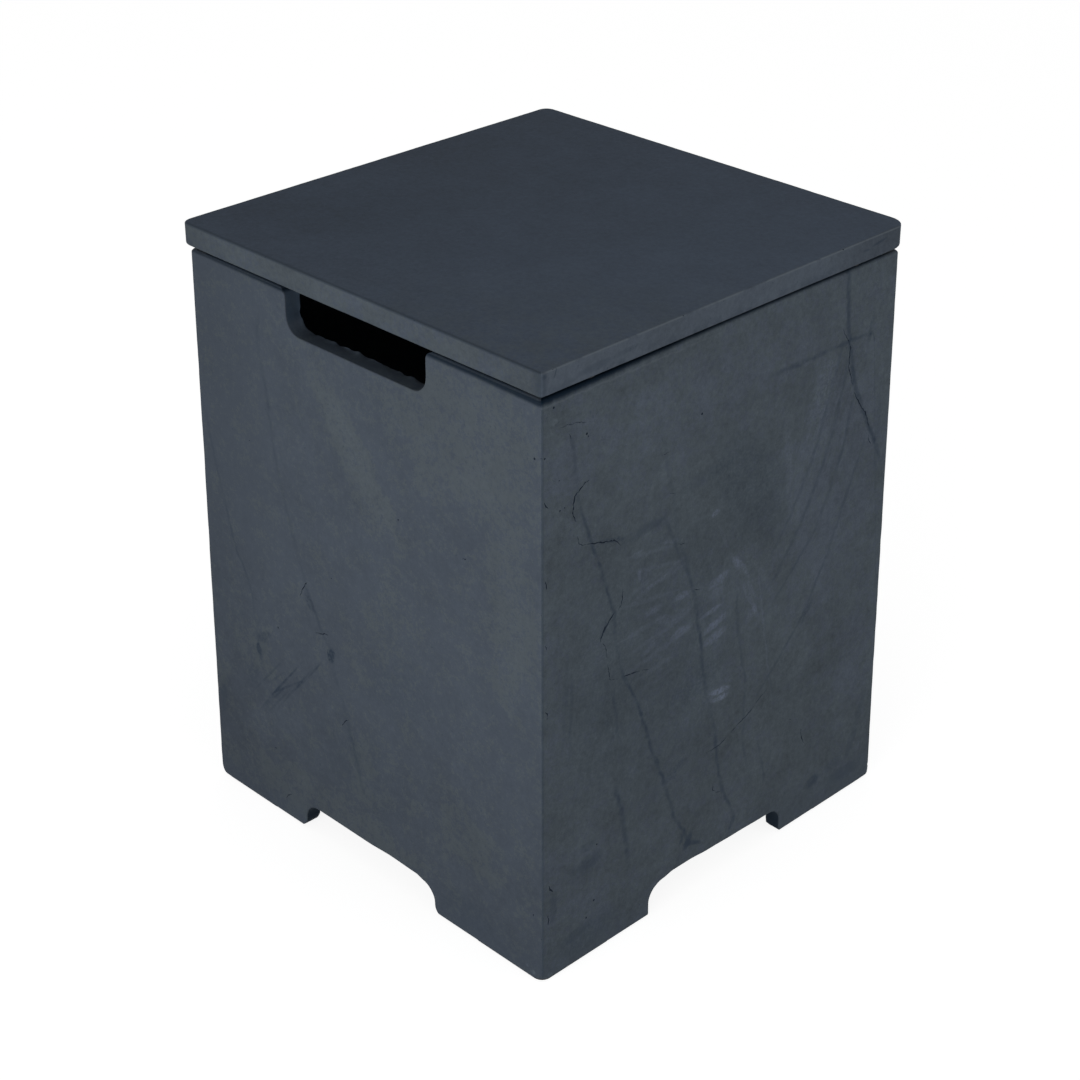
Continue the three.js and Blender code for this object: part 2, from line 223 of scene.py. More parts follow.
# Warmer and bluer zones: an oval's strength is above zero where it is warmer
FIRST_WARMTH = rows_of(
    Patch,
    (117, 441, 95, 62, 0, 1.7), (-6, 386, 88, 22, -51, 1.9), (168, 318, 90, 32, 90, 1.4),
    (-62, 33, 160, 28, 0, 1.7), (-9, 100, 48, 22, 90, 1.4), (120, 94, 42, 30, 0, 1.4),
    (-138, 158, 34, 18, 60, 1.5), (25, 240, 65, 32, 60, 0.8), (-197, 147, 42, 12, 90, 1.3),
)
SECOND_WARMTH = rows_of(
    Patch,
    (-165, 447, 40, 34, 0, -1.1), (0, 450, 135, 28, 0, -0.9), (130, 318, 120, 62, 84, -1.3),
    (-168, 76, 50, 46, 0, -0.9), (167, 147, 60, 36, 90, -1.1), (-132, 262, 150, 36, 90, 0.8),
    (3, 353, 62, 56, 0, 0.9), (79, 122, 90, 46, 90, 0.7),
)

# Pale strokes that a wide brush left on the second pair
SECOND_STROKES = rows_of(
    Patch,
    (-82, 286.5, 11, 3.2, 0, 1.0), (-50, 286, 9, 3.2, 0, 1.25), (-8, 283, 13, 4.8, 16, 1.1),
    (13, 290, 8, 4, -55, 1.15), (-68, 272, 13, 5, -25, 0.75), (-50, 269.5, 13, 4.5, 10, 0.65),
    (-10, 272, 9, 5, 10, 0.65), (-16, 258, 13, 2.5, 10, 1.1), (-50, 254.5, 13, 4, 5, 1.2),
    (-86, 255, 10, 3.5, 30, 0.7), (-12, 245, 15, 4, 15, 1.4), (-12, 233, 15, 4.8, 10, 1.2),
    (33, 235, 8, 4, 40, 0.6), (28, 255, 15, 3.2, 118, 0.5), (-98, 322, 5, 2, 90, 0.9),
    (-100, 343, 5, 2, 10, 0.6), (-65, 338.5, 11, 2, -15, 0.6), (-14, 343, 5, 3, 20, 1.1),
    (-75, 311, 30, 2.6, 18, 0.45), (-3, 318, 13, 2.2, 112, 0.4), (-92, 307, 16, 2.6, 20, 0.35),
    (72, 352, 52, 5, 96, 0.4), (48, 262, 28, 4, 118, 0.25), (-80, 323, 28, 2.3, -12, 0.4),
    (-88, 298, 30, 2.5, -8, 0.5), (-95, 312, 24, 2.3, 10, 0.4), (-78, 262, 34, 2.5, 6, 0.5),
    (-80, 247, 32, 2.7, 8, 0.55), (-78, 235, 26, 2.4, 8, 0.4), (-3, 180, 12, 3, -8, 1.5),
    (-2, 172.5, 11, 3, -8, 1.3), (-88, 338, 30, 2.4, -10, 0.35), (-92, 275, 26, 2.4, 4, 0.45),
    (-72, 224, 26, 2.4, 8, 0.35), (22, 281, 12, 2.5, -58, 0.6), (31, 260, 12, 2.5, -62, 0.6),
    (37, 238, 10, 2.5, -66, 0.7), (50, 212, 66, 1.3, -80, 0.4), (-70, 310, 24, 2.4, 6, 0.4),
)

# Fine scratches on the first pair, as narrow patches
SCRATCH_HALF_WIDTH = 1.2
FIRST_SCRATCHES = (
    # across and height of one end and of the other, and strength
    (-139, 97, -79, 169, 0.75),
    (-135, 100, -97, 141, 0.5),
    (-123, 119, -78, 152, 0.7),
    (-92, 135, -74, 155, 0.7),
    (-73, 156, -55, 178, 0.8),
    (-126, 128, -104, 148, 0.4),
    (-150, 108, -104, 160, 0.5),
    (-128, 112, -88, 158, 0.5),
    (-132, 94, -94, 138, 0.45),
    (-112, 112, -72, 160, 0.5),
    (-100, 128, -62, 172, 0.4),
)

FIRST_CRACKS = rows_of(
    Crack,
    (1.0, 0.7, ((-67.5, 249), (-71, 245), (-74, 240), (-77.5, 232.5))),
    (1.1, 0.7, ((-59.5, 205.6), (-53, 207), (-48.5, 209), (-43.5, 210))),
    (0.7, 0.5, ((-30, 130), (-26.5, 136), (-21.5, 140))),
    (0.8, 0.5, ((117, 343.5), (121.5, 345.5))),
    (0.8, 0.5, ((-110, 20), (-107, 24), (-102, 27))),
)
# The last six are dashes beside the edge at the front right
SECOND_CRACKS = rows_of(
    Crack,
    (1.3, 0.9, ((-151.5, 422), (-156, 421), (-161, 417.5), (-166, 413.5), (-167.5, 408), (-168.3, 401),
        (-166.5, 396), (-164.8, 393))),
    (0.6, 0.4, ((-163.8, 381.5), (-162.6, 376), (-159.5, 372), (-153.9, 370.8))),
    (1.2, 0.9, ((-154, 370.7), (-145, 368.2), (-137.5, 366), (-130, 364), (-125.5, 363), (-122.3, 360),
        (-118, 355.5))),
    (1.7, 1.1, ((-124.5, 301.5), (-130, 297.6), (-134.5, 292.5), (-138.6, 286), (-139.6, 283))),
    (0.7, 0.5, ((-120.5, 302.5), (-117.5, 306), (-116, 312.5), (-116.2, 319))),
    (0.6, 0.4, ((-136.5, 281.5), (-134, 275), (-132.2, 266))),
    (0.6, 0.4, ((-131.8, 261), (-130, 252), (-129.5, 245.5), (-124, 243.3))),
    (1.0, 0.6, ((-116, 242), (-110, 241), (-104, 240.6), (-96.5, 239.2))),
    (0.6, 0.4, ((-94, 238.5), (-90, 237.6), (-86, 235.5))),
    (0.7, 0.5, ((-74, 413.8), (-70, 414.6), (-67.6, 414.1))),
    (0.5, 0.4, ((-66.5, 379.2), (-63, 378.5), (-60, 377))),
    (0.5, 0.4, ((-57.5, 333.5), (-52, 331.4), (-47, 330))),
    (0.7, 0.5, ((-37.5, 287), (-34, 284.5), (-29.5, 283.5))),
    (0.9, 0.6, ((-17, 127.5), (-11, 127), (-5, 127), (0.5, 128.5), (8, 131))),
    (1.0, 0.7, ((12, 132.8), (20.5, 137.2), (32.5, 141), (40, 145.5))),
    (0.6, 0.4, ((42, 147), (49, 151), (56, 154.5))),
    (0.6, 0.4, ((-7.5, 93), (-8, 88), (-4.5, 84), (2, 80.5))),
    (1.0, 0.7, ((131, 452), (134.5, 446), (139, 439), (142.3, 432), (141.5, 424), (141, 416.5), (145, 405),
        (148.5, 396))),
    (1.1, 0.7, ((150, 391), (153, 385), (157, 379), (161, 373.5), (166, 368), (170, 358), (173, 350))),
    (0.8, 0.5, ((172, 346), (172.5, 342), (176, 336))),
    (0.5, 0.3, ((-180.5, 472.7), (-172, 472.3), (-163, 470.7), (-154, 468))),
    (0.7, 0.5, ((-171.5, 464), (-169.8, 460.5))),
    (0.7, 0.5, ((103, 95), (105, 84), (109.5, 77))),
    (1.3, 0.8, ((-194.5, 91), (-193, 87), (-190.5, 83.5))),
    (1.2, 0.8, ((-196, 64), (-195, 60), (-195.5, 55))),
    (1.1, 0.7, ((-196, 420), (-194.5, 416.5), (-192.5, 414))),
    (1.0, 0.7, ((-196, 357), (-194.5, 353.5), (-194.5, 350))),
    (0.9, 0.6, ((-196, 304), (-195, 300))),
    (1.0, 0.7, ((-196.5, 248), (-195, 245), (-195, 241))),
)

FIRST_PITS = rows_of(
    Pit,
    (192.5, 453, 1.1), (193, 63, 0.8), (46, 349, 0.9), (-121, 65, 0.9), (-36.5, 265, 0.7), (-109, 189, 0.9),
    (-134, 352, 0.6),
)
SECOND_PITS = rows_of(
    Pit,
    (-181, 408, 0.8), (-176.3, 408.6, 0.6), (-154, 459, 1.2), (-152.5, 456.5, 0.7), (-32.5, 433.5, 1.2),
    (-145.5, 51.5, 1.1), (-154, 39.2, 1.0), (-142.5, 103, 0.9), (-195.5, 454, 0.9), (88, 111, 0.7),
    (-181.5, 432, 0.6), (-186.5, 490, 1.1),
)
# Chips on the upright edges, as (height, radius), from the front right edge round to the front left
EDGE_CHIPS = (
    ((455, 0.8), (407, 0.7), (330, 0.7), (103, 0.8), (44, 1.0), (36, 0.8)),
    ((13, 3.0), (437, 1.2), (371, 1.0), (262, 1.5), (198, 1.7), (160, 1.0), (52, 1.3)),
    ((402, 1.0), (318, 1.4), (226, 1.0), (121, 1.6), (71, 1.0)),
    ((448, 1.1), (283, 1.0), (180, 1.6), (96, 1.4), (38, 1.1)),
)

# Chips of the lid's upper edges, as (across, depth, radius)
LID_CHIPS = (
    (202.9, -191, 0.9), (202.7, -60, 0.9), (202.8, 121, 1.0), (-96, -202.8, 0.9),
    (74, -202.9, 0.8), (40, 202.8, 1.0), (-202.8, 66, 1.1),
)

# Height of the arches' tops above the foot along a wall, as (share of half the width, share of the height)
FIRST_ARCH_TOP = (
    (-1.0, 1.04), (-0.7, 1.06), (0.0, 1.06), (0.35, 1.11), (0.72, 1.08), (0.85, 0.99), (1.0, 0.96),
)
SECOND_ARCH_TOP = (
    (-1.0, 1.0), (-0.92, 1.03), (-0.8, 1.1), (-0.65, 1.18), (-0.42, 1.18), (-0.1, 1.11), (0.3, 1.07),
    (0.7, 1.03), (1.0, 1.0),
)

# Material slots of the shell and the lid
FACE_SLOT, RAW_SLOT, CRACK_SLOT = 0, 1, 2


# Settings

def number(name, text, value, **limits):
    """A setting for a number."""
    return bpy.props.FloatProperty(name=name, description=text, default=value, **limits)


def length(name, text, size, least=0.0):
    """A setting for a length, with its default and its least value in millimetres."""
    return number(name, text, size * MM, min=least * MM, unit="LENGTH")


def lengths(name, text, sizes):
    """A setting for several lengths, with their defaults in millimetres."""
    return bpy.props.FloatVectorProperty(
        name=name, description=text, default=[size * MM for size in sizes], min=-10 * MM,
        size=len(sizes), unit="LENGTH")


def tint(name, text, colour):
    """A setting for a colour."""
    return bpy.props.FloatVectorProperty(
        name=name, description=text, default=colour, subtype="COLOR", size=3, min=0, max=1)


def fraction(name, text, value):
    """A setting from 0 to 1."""
    return number(name, text, value, min=0, max=1, subtype="FACTOR")


def bearing(name, text, turn):
    """A setting for an angle, in radians."""
    return number(name, text, turn, unit="ROTATION")


class ShellForm(bpy.types.PropertyGroup):
    """Sizes of the cast shell."""

    wall_thickness: length("Wall thickness", "Thickness of the four walls", 15, 5)
    wall_lean: length("Wall lean", "How far each wall leans in from the floor to the rim", 4)
    upright_radii: lengths(
        "Upright edge radii",
        "Radii of the upright edges at the back right, back left, front left and front right", (4, 5, 4, 2.4))
    foot_radii: lengths(
        "Foot corner radii", "Radii of the same edges where they are worn at the ground", (6, 9, 10, 13))
    foot_wear: length("Foot wear", "How far up from the ground the upright edges are worn", 10, 1)
    cavity_radius: length("Cavity corner radius", "Radius of the four upright corners inside", 13, 1)
    edge_round: length("Edge round", "Radius of the foot's edges and of the rim's inner edge", 2.5, 0.5)
    rim_round: length("Rim round", "Radius of the rim's outer edge", 2.6, 0.5)
    slot_width: length("Slot width", "Width of the hand slots", 160, 60)
    slot_depth: length("Slot depth", "Depth of the hand slots below the rim", 36, 20)
    slot_corner: length("Slot corner radius", "Radius of the slots' lower corners", 15, 1)
    slot_mouth: length("Slot mouth round", "Round where the slots' sides meet the rim", 7, 2)
    arch_width: length("Arch width", "Width of the arches at the foot", 162, 60)
    arch_height: length("Arch height", "Height of the arches above the foot", 25, 5)
    arch_corners: lengths("Arch corner radii", "Upper corners in the first and second pair", (14.5, 13))
    arch_mouths: lengths("Arch mouth rounds", "Rounds at the ground in the first and second pair", (9.5, 3))
    arch_shifts: lengths("Arch shifts", "Places off the middle in the first and second pair", (-2, -1))
    cut_edge: length("Cut edge round", "Round of the outer edge of slots and arches", 1.1, 0.2)
    skin_step: length("Skin step", "Spacing of the mesh on the outer faces", 6, 3)
    warp_depth: length("Warp depth", "How far the faces sink in broad hollows", 0.45)
    ripple_depth: length("Ripple depth", "How far the faces sink in finer ripples", 0.15)
    cavity_roughness: length("Cavity roughness", "Depth of the unfinished surface inside", 0.8)
    ragged_edge: length("Ragged edge", "How far the inner edges of slots and arches wander", 3.0)


class LidForm(bpy.types.PropertyGroup):
    """Sizes of the slab lid."""

    corner_radii: lengths(
        "Corner radii",
        "Radii of the corners at the back right, back left, front left and front right", (16, 9, 9, 2.6))
    top_round: length("Top edge round", "Radius of the lid's upper edges", 1.2, 0.3)
    low_round: length("Low edge round", "Radius of the lid's lower edges", 2.2, 0.3)
    skin_step: length("Skin step", "Spacing of the mesh on the lid", 6, 3)
    hollow_depth: length("Hollow depth", "How far the top sinks in shallow hollows", 0.15)
    side_wander: length("Side wander", "How far the sides sink in places", 0.3)
    edge_wear: length("Edge wear", "How much further the edges are rubbed away in places", 0.5)


class FittingForm(bpy.types.PropertyGroup):
    """Sizes of the cleats, screws and rubber pieces."""

    cleat_leg_width: length("Cleat width", "Width of a cleat's legs", 15, 8)
    cleat_corner: length("Cleat corner radius", "Radius of a cleat's outer corner", 11, 3)
    cleat_end: length("Cleat end radius", "Radius of the corners at a cleat's ends", 3, 1)
    cleat_edge: length("Cleat edge round", "Round of a cleat's lower edges", 1.2, 0.3)
    counterbore_width: length("Counterbore width", "Width of the sunk seat of a screw's head", 12, 6)
    screw_diameter: length("Screw diameter", "Diameter over the screw's thread", 5, 2)
    screw_head_height: length("Screw head height", "Height of the screw's domed head", 3.2, 1)
    thread_pitch: length("Thread pitch", "Rise of the thread in one turn", 0.8, 0.3)
    thread_depth: length("Thread depth", "Depth of the thread", 0.4, 0.1)
    recess_span: length("Recess span", "Width of the cross in the screw's head", 5, 2)
    pad_leg_width: length("Pad width", "Width of a foot pad's legs", 10, 4)
    pad_corner: length("Pad corner radius", "Radius of a foot pad's outer corner", 8.5, 1)
    pad_end: length("Pad end radius", "Radius of the corners at a foot pad's ends", 2, 1)
    rubber_edge: length("Rubber edge round", "Round of the rubber pieces' edges", 0.6, 0.1)


class Finishes(bpy.types.PropertyGroup):
    """Colours and strengths of the finishes."""

    slate: tint("Slate", "Main colour of the concrete", (0.0620, 0.0764, 0.0985))
    first_olive: tint("First olive", "Colour of the first pair's warmer clouds", (0.0638, 0.0775, 0.0903))
    olive: tint("Olive", "Colour of the other warmer clouds", (0.0625, 0.0780, 0.0922))
    # Painted light: the lid's top is bluer than its sides, for the cooler light that falls on it from above
    lid_slate_lit_from_above: tint("Lid slate", "Main colour of the lid's concrete", (0.0567, 0.0742, 0.1030))
    stroke: tint("Stroke", "Colour of the pale brush strokes", (0.068, 0.082, 0.112))
    vein: tint("Vein", "Colour of the veins and smears", (0.025, 0.036, 0.053))
    # Painted shade: the colour of the dark band on the rim under the lid, and low in the arches
    shade: tint("Shade", "Colour of the shaded rim under the lid", (0.002, 0.0078, 0.0165))
    # Painted shade: the colour that the cut faces of the slots and arches are darkened to
    cut: tint("Cut", "Colour of the cut faces in slots and arches", (0.030, 0.050, 0.078))
    crack: tint("Crack", "Colour in the open cracks and pits", (0.008, 0.012, 0.022))
    # Partly painted shade: the unfinished faces inside are kept dark for the shade in the hollow
    raw: tint("Raw concrete", "Colour of the unfinished faces inside", (0.024, 0.030, 0.040))
    # The darker, bluer colour that the walls take on near the ground
    foot_darkening: tint("Darkening", "Colour of the concrete near the ground", (0.040, 0.053, 0.074))
    worn: tint("Worn edge", "Colour of the rubbed edges", (0.115, 0.135, 0.155))
    vein_strength: fraction("Vein strength", "Strength of the veins", 0.52)
    patch_strength: fraction("Patch strength", "Strength of the dark and pale patches", 0.2)
    mottle_strength: fraction("Mottle strength", "Strength of the cloudy mottle", 0.24)
    concrete_roughness: fraction("Concrete roughness", "Mean roughness of the finished concrete", 0.76)
    concrete_specular: fraction("Concrete specular", "Specular level of the finished concrete", 0.06)
    rubber: tint("Rubber", "Colour of the rubber", (0.012, 0.012, 0.013))
    moulding: tint("Moulding", "Colour of the moulded cleats", (0.015, 0.016, 0.018))
    steel: tint("Steel", "Colour of the screws", (0.45, 0.46, 0.47))
    brass: tint("Brass", "Colour of the inserts", (0.45, 0.30, 0.10))


class StageSetup(bpy.types.PropertyGroup):
    """Camera, lamps and floor."""

    azimuth: bearing(
        "Azimuth", "Where the camera stands round the table, from the front", math.radians(45.58))
    elevation: bearing("Elevation", "How far above the horizon the camera stands", math.radians(26.13))
    roll: bearing("Roll", "Turn of the camera about its own axis", -0.0018)
    distance: length("Distance", "Distance of the camera from the upright axis of the table", 1897, 500)
    aim_height: length("Aim height", "Height on the table's axis that the camera looks at", 339.4)
    aside: length("Aside", "How far the camera stands to the right of its line of sight", -3.6, -1000)
    lens: number("Lens", "Focal length in millimetres, on a sensor 36 mm wide", 77.0, min=20)
    shift: number("Shift", "Upward shift of the lens, as a share of the picture", -0.1019)
    key_power: number("Key power", "Power of the large lamp at the front left", 39, min=0, unit="POWER")
    fill_power: number("Fill power", "Power of the large lamp at the right", 18, min=0, unit="POWER")
    key_azimuth: bearing(
        "Key azimuth", "Where the key lamp stands round the table, from the front", math.radians(16))
    fill_azimuth: bearing(
        "Fill azimuth", "Where the fill lamp stands round the table, from the front", math.radians(107))
    ambient: number("Ambient", "Strength of the light from all round", 0.4, min=0)
    floor_tone: fraction("Floor tone", "Grey of the floor as it lights the table", 0.3)
    floor_glow: number("Floor glow", "White that the floor adds where it is seen", 0.87, min=0)


# Meshes

def wall_half(z, form):
    """Half the shell's outside width at a height."""
    return FOOT_HALF - form.wall_lean * (z - FOOT_Z) / (RIM_Z - FOOT_Z)


WARP_SIZE = 130 * MM
RIPPLE_SIZE = 34 * MM
RIPPLE_SHIFT = Vector((11.3, 4.7, 8.1))
EDGE_WEAR_SIZE = 13 * MM
UPRIGHT_WEAR = 0.35 * MM


def face_sink(point, form):
    """How far the cast face lies behind its true plane: broad hollows and finer ripples."""
    broad = noise.noise(point / WARP_SIZE)
    fine = noise.noise(point / RIPPLE_SIZE + RIPPLE_SHIFT)
    return form.warp_depth * (1 + broad) / 2 + form.ripple_depth * (1 + fine) / 2


def square_ring(half, radii, side_steps, corner_steps):
    """Places and outward directions round a square, anticlockwise from the side at +X. The radii are those of
    the corners at the back right, back left, front left and front right."""
    ring = []
    for quarter, radius in enumerate(radii):
        turn = Matrix.Rotation(quarter * QUARTER, 2)
        flat = half - radius
        start = radii[quarter - 1] - half
        for step in range(side_steps):
            along = start + (flat - start) * step / side_steps
            ring.append((turn @ Vector((half, along)), turn @ Vector((1, 0))))
        for step in range(corner_steps):
            angle = QUARTER * step / corner_steps
            outward = Vector((math.cos(angle), math.sin(angle)))
            ring.append((turn @ (Vector((flat, flat)) + radius * outward), turn @ outward))
    return ring


def grid_quads(rows, columns, joined_rows=False):
    """Faces of rows of points, each row a closed loop, and the last row joined to the first if asked."""
    quads = []
    for row in range(rows if joined_rows else rows - 1):
        low = row * columns
        high = (row + 1) % rows * columns
        for column in range(columns):
            after = (column + 1) % columns
            quads.append((low + column, low + after, high + after, high + column))
    return quads


# A part of a mesh: its points, its faces and the material slot of each face
Part = namedtuple("Part", "places faces slots")


def capped_part(places, band_slots, end_slots):
    """A closed part of rows of points, each a loop, with a slot for each band of faces between two rows and
    for the face at each end."""
    rows = len(band_slots) + 1
    columns = len(places) // rows
    faces = grid_quads(rows, columns)
    faces.append(tuple(range(columns)))
    faces.append(tuple(range(len(places) - columns, len(places))))
    slots = []
    for slot in band_slots:
        slots += [slot] * columns
    return Part(places, faces, [*slots, *end_slots])


def add_object(name, data):
    """A new object in the scene."""
    thing = bpy.data.objects.new(name, data)
    bpy.context.scene.collection.objects.link(thing)
    return thing


def make_object(name, places, faces, materials=(), slots=None):
    """A mesh object with its faces pointing out."""
    mesh = bpy.data.meshes.new(name)
    mesh.from_pydata(places, [], faces)
    for material in materials:
        mesh.materials.append(material)
    if slots is not None:
        mesh.polygons.foreach_set("material_index", slots)
    shape = bmesh.new()
    shape.from_mesh(mesh)
    bmesh.ops.recalc_face_normals(shape, faces=shape.faces)
    shape.to_mesh(mesh)
    shape.free()
    return add_object(name, mesh)


def object_of_parts(name, parts, materials=()):
    """One mesh object of several parts."""
    places, faces, slots = [], [], []
    for part in parts:
        first = len(places)
        places += part.places
        faces += [tuple(first + index for index in face) for face in part.faces]
        slots += part.slots
    return make_object(name, places, faces, materials, slots)


def bake_modifiers(thing):
    """Turns the modifiers of an object into its mesh."""
    depsgraph = bpy.context.evaluated_depsgraph_get()
    baked = bpy.data.meshes.new_from_object(thing.evaluated_get(depsgraph))
    plain = thing.data
    thing.modifiers.clear()
    thing.data = baked
    bpy.data.meshes.remove(plain)
    baked.name = thing.name


def drop(thing):
    """Deletes an object and its mesh."""
    mesh = thing.data
    bpy.data.objects.remove(thing)
    bpy.data.meshes.remove(mesh)


def cut_away(thing, parts, materials):
    """Cuts parts that lie clear of each other out of an object."""
    cutter = object_of_parts("cutter", parts, materials)
    modifier = thing.modifiers.new("cut", "BOOLEAN")
    modifier.operation = "DIFFERENCE"
    modifier.solver = "MANIFOLD"
    modifier.object = cutter
    face_count = len(thing.data.polygons)
    bake_modifiers(thing)
    drop(cutter)
    if len(thing.data.polygons) <= face_count / 2:
        raise RuntimeError(f"the cuts of {thing.name} failed")


SHARP_DEGREES = 32


def finish_shading(thing):
    """Smooth faces with sharp edges, and normals that follow the larger faces."""
    thing.data.shade_smooth()
    thing.data.set_sharp_from_angle(angle=math.radians(SHARP_DEGREES))
    modifier = thing.modifiers.new("normals", "WEIGHTED_NORMAL")
    modifier.keep_sharp = True
    bake_modifiers(thing)


def quarter_round(steps):
    """(inset share, rise share) points of a quarter round, from the flat side to the end."""
    angles = [QUARTER * step / steps for step in range(steps + 1)]
    return [(1 - math.cos(angle), math.sin(angle)) for angle in angles]


def spaced(start, end, step):
    """Values from start to end in even steps of about the given size, without the end."""
    count = max(1, round(abs(end - start) / step))
    return [start + (end - start) * index / count for index in range(count)]


ROUND_STEPS = 4
CORNER_STEPS = 8
CAVITY_STEP = 10 * MM


def shell_section(form):
    """The wall's section once round, up the outer face first, as (inset from that face, height)."""
    edge = form.edge_round
    far = form.wall_thickness
    arc = quarter_round(ROUND_STEPS)
    rim = form.rim_round
    wear_end = FOOT_Z + form.foot_wear
    section = [(0.0, z) for z in spaced(FOOT_Z + edge, wear_end, edge)]
    section += [(0.0, z) for z in spaced(wear_end, RIM_Z - rim, form.skin_step)]
    section += [(rim * inset, RIM_Z - rim + rim * rise) for inset, rise in arc]
    section += [(inset, RIM_Z) for inset in spaced(rim, far - edge, edge)[1:]]
    section += [(far - edge * inset, RIM_Z - edge + edge * rise) for inset, rise in reversed(arc)]
    section += [(far, z) for z in spaced(RIM_Z - edge, FOOT_Z + edge, CAVITY_STEP)[1:]]
    section += [(far - edge * inset, FOOT_Z + edge - edge * rise) for inset, rise in arc]
    section += [(inset, FOOT_Z) for inset in spaced(far - edge, edge, edge)[1:]]
    section += [(edge * inset, FOOT_Z + edge - edge * rise) for inset, rise in reversed(arc[1:])]
    return section


RIM_SAG = 0.3 * MM
ROUGH_SIZES = (38 * MM, 11 * MM)
ROUGH_SHARES = (0.65, 0.35)


def rough_offset(point, depth):
    """How far an unfinished face wanders either way at a point."""
    waves = [share * noise.noise(point / size) for size, share in zip(ROUGH_SIZES, ROUGH_SHARES)]
    return depth * sum(waves)


def shell_radii(inset, z, form):
    """Radii of the shell's four upright edges at an inset from the face and a height."""
    share = inset / form.wall_thickness
    worn = max(0.0, 1 - (z - FOOT_Z) / form.foot_wear) ** 2
    return [
        (radius + worn * (foot - radius)) * (1 - share) + share * form.cavity_radius
        for radius, foot in zip(form.upright_radii, form.foot_radii)
    ]


def build_shell_skin(form, materials):
    """The closed skin of the shell before its slots, arches and marks are cut."""
    section = shell_section(form)
    side_steps = round(2 * FOOT_HALF / form.skin_step)
    places = []
    for inset, z in section:
        share = inset / form.wall_thickness
        radii = shell_radii(inset, z, form)
        for place, outward in square_ring(wall_half(z, form) - inset, radii, side_steps, CORNER_STEPS):
            point = Vector((*place, z))
            sink = face_sink(point, form)
            slant = 4 * (outward.x * outward.y) ** 2
            wear = max(0.0, noise.noise(point / EDGE_WEAR_SIZE)) * UPRIGHT_WEAR * slant
            offset = -(1 - share) * (sink + wear) + share * rough_offset(point, form.cavity_roughness)
            point += Vector((*outward, 0)) * offset
            if z > RIM_Z - form.edge_round:
                point.z -= RIM_SAG * (1 + noise.noise(point / RIPPLE_SIZE)) / 2
            places.append(point)
    columns = len(places) // len(section)
    quads = grid_quads(len(section), columns, joined_rows=True)
    slots = []
    for inset, z in section:
        raw = inset > form.wall_thickness - form.edge_round
        slots += [RAW_SLOT if raw else FACE_SLOT] * columns
    return make_object("cast_shell", places, quads, materials, slots)


def wall_point(wall, across, z, depth, form):
    """A point at a place on a wall, at a depth behind its true outer plane."""
    point = wall.outward * (wall_half(z, form) - depth)
    if wall.outward.x:
        point.y = across
    else:
        point.x = across
    point.z = z
    return point


def face_point(wall, across, z, depth, form):
    """A point at a depth behind the wall's real, slightly hollow face."""
    true_point = wall_point(wall, across, z, 0, form)
    return wall_point(wall, across, z, depth + face_sink(true_point, form), form)


OUTLINE_STEP = 3 * MM
OVERRUN = 6 * MM
LEAST_ROUND = 0.2 * MM


def arc_points(centre, radius, start, end, steps=6):
    """Points of an arc, both ends included, with its angles in quarter turns."""
    points = []
    for step in range(steps + 1):
        angle = QUARTER * (start + (end - start) * step / steps)
        points.append((centre[0] + radius * math.cos(angle), centre[1] + radius * math.sin(angle)))
    return points


def notch_outline(width, depth, corner, mouth, grow):
    """An open notch below the line at height 0, grown by an offset, with a rounded mouth."""
    drop_steps = max(2, round((depth - corner - mouth) / OUTLINE_STEP))
    floor_steps = round((width / 2 - corner) / OUTLINE_STEP)
    half = width / 2 + grow
    low = -depth - grow
    corner += grow
    mouth = max(mouth - grow, LEAST_ROUND)
    left = [(-half - mouth, OVERRUN)]
    left += arc_points((-half - mouth, -mouth), mouth, 1, 0)
    for step in range(1, drop_steps):
        left.append((-half, -mouth + (low + corner + mouth) * step / drop_steps))
    left += arc_points((-half + corner, low + corner), corner, 2, 3, 8)
    start = -half + corner
    floor = [(start * (1 - step / floor_steps), low) for step in range(1, floor_steps)]
    right = [(-across, height) for across, height in reversed(left + floor)]
    return left + floor + [(0.0, low)] + right


def smooth_between(knots, place):
    """The value at a place of a smooth line through (place, value) knots."""
    if place <= knots[0][0]:
        return knots[0][1]
    for (low, low_value), (high, high_value) in zip(knots, knots[1:]):
        if place <= high:
            share = (place - low) / (high - low)
            share = share * share * (3 - 2 * share)
            return low_value + share * (high_value - low_value)
    return knots[-1][1]


RAGGED_REACH = 5 * MM
RAGGED_SIZES = (9 * MM, 2.6 * MM)
RAGGED_SHIFTS = (Vector((9.3, -1.5, -7.9)), Vector((-4.7, 6.2, 2.8)), Vector((1.6, -8.4, 5.3)))


def ragged_wander(point):
    """A smooth random sideways step for a point of a ragged edge, of up to about 1 in length."""
    steps = [
        Vector([noise.noise(point / size + shift) for shift in RAGGED_SHIFTS]) * size
        for size in RAGGED_SIZES
    ]
    return sum(steps, Vector((0, 0, 0))) / sum(RAGGED_SIZES)


def notch_cutter(wall, outline_at, edge_z, upward, form):
    """A part that cuts through one wall. outline_at gives the notch's outline for an offset, and upward is 1
    where the notch opens at the rim and -1 where it opens at the foot."""
    thickness = form.wall_thickness
    rows = [(-OVERRUN, 2 * form.cut_edge, 0.0)]
    for inset, rise in quarter_round(ROUND_STEPS):
        rows.append((form.cut_edge * inset, form.cut_edge * (1 - rise), 0.0))
    rows.append((0.5 * thickness, 0.0, 0.1))
    rows.append((thickness - RAGGED_REACH, 0.0, 0.25))
    for share in (0.3, 0.6, 0.85, 1.0):
        rows.append((thickness - RAGGED_REACH * (1 - share), 0.0, share))
    rows.append((thickness + OVERRUN, 0.0, 1.0))
    places = []
    for depth, grow, ragged in rows:
        for across, height in outline_at(grow):
            point = face_point(wall, across, edge_z + upward * height, depth, form)
            wander = ragged_wander(point) * ragged * form.ragged_edge
            point += wander - wander.dot(wall.outward) * wall.outward
            places.append(point)
    band_slots = [FACE_SLOT] * (len(rows) - 2) + [RAW_SLOT]
    return capped_part(places, band_slots, (RAW_SLOT, RAW_SLOT))


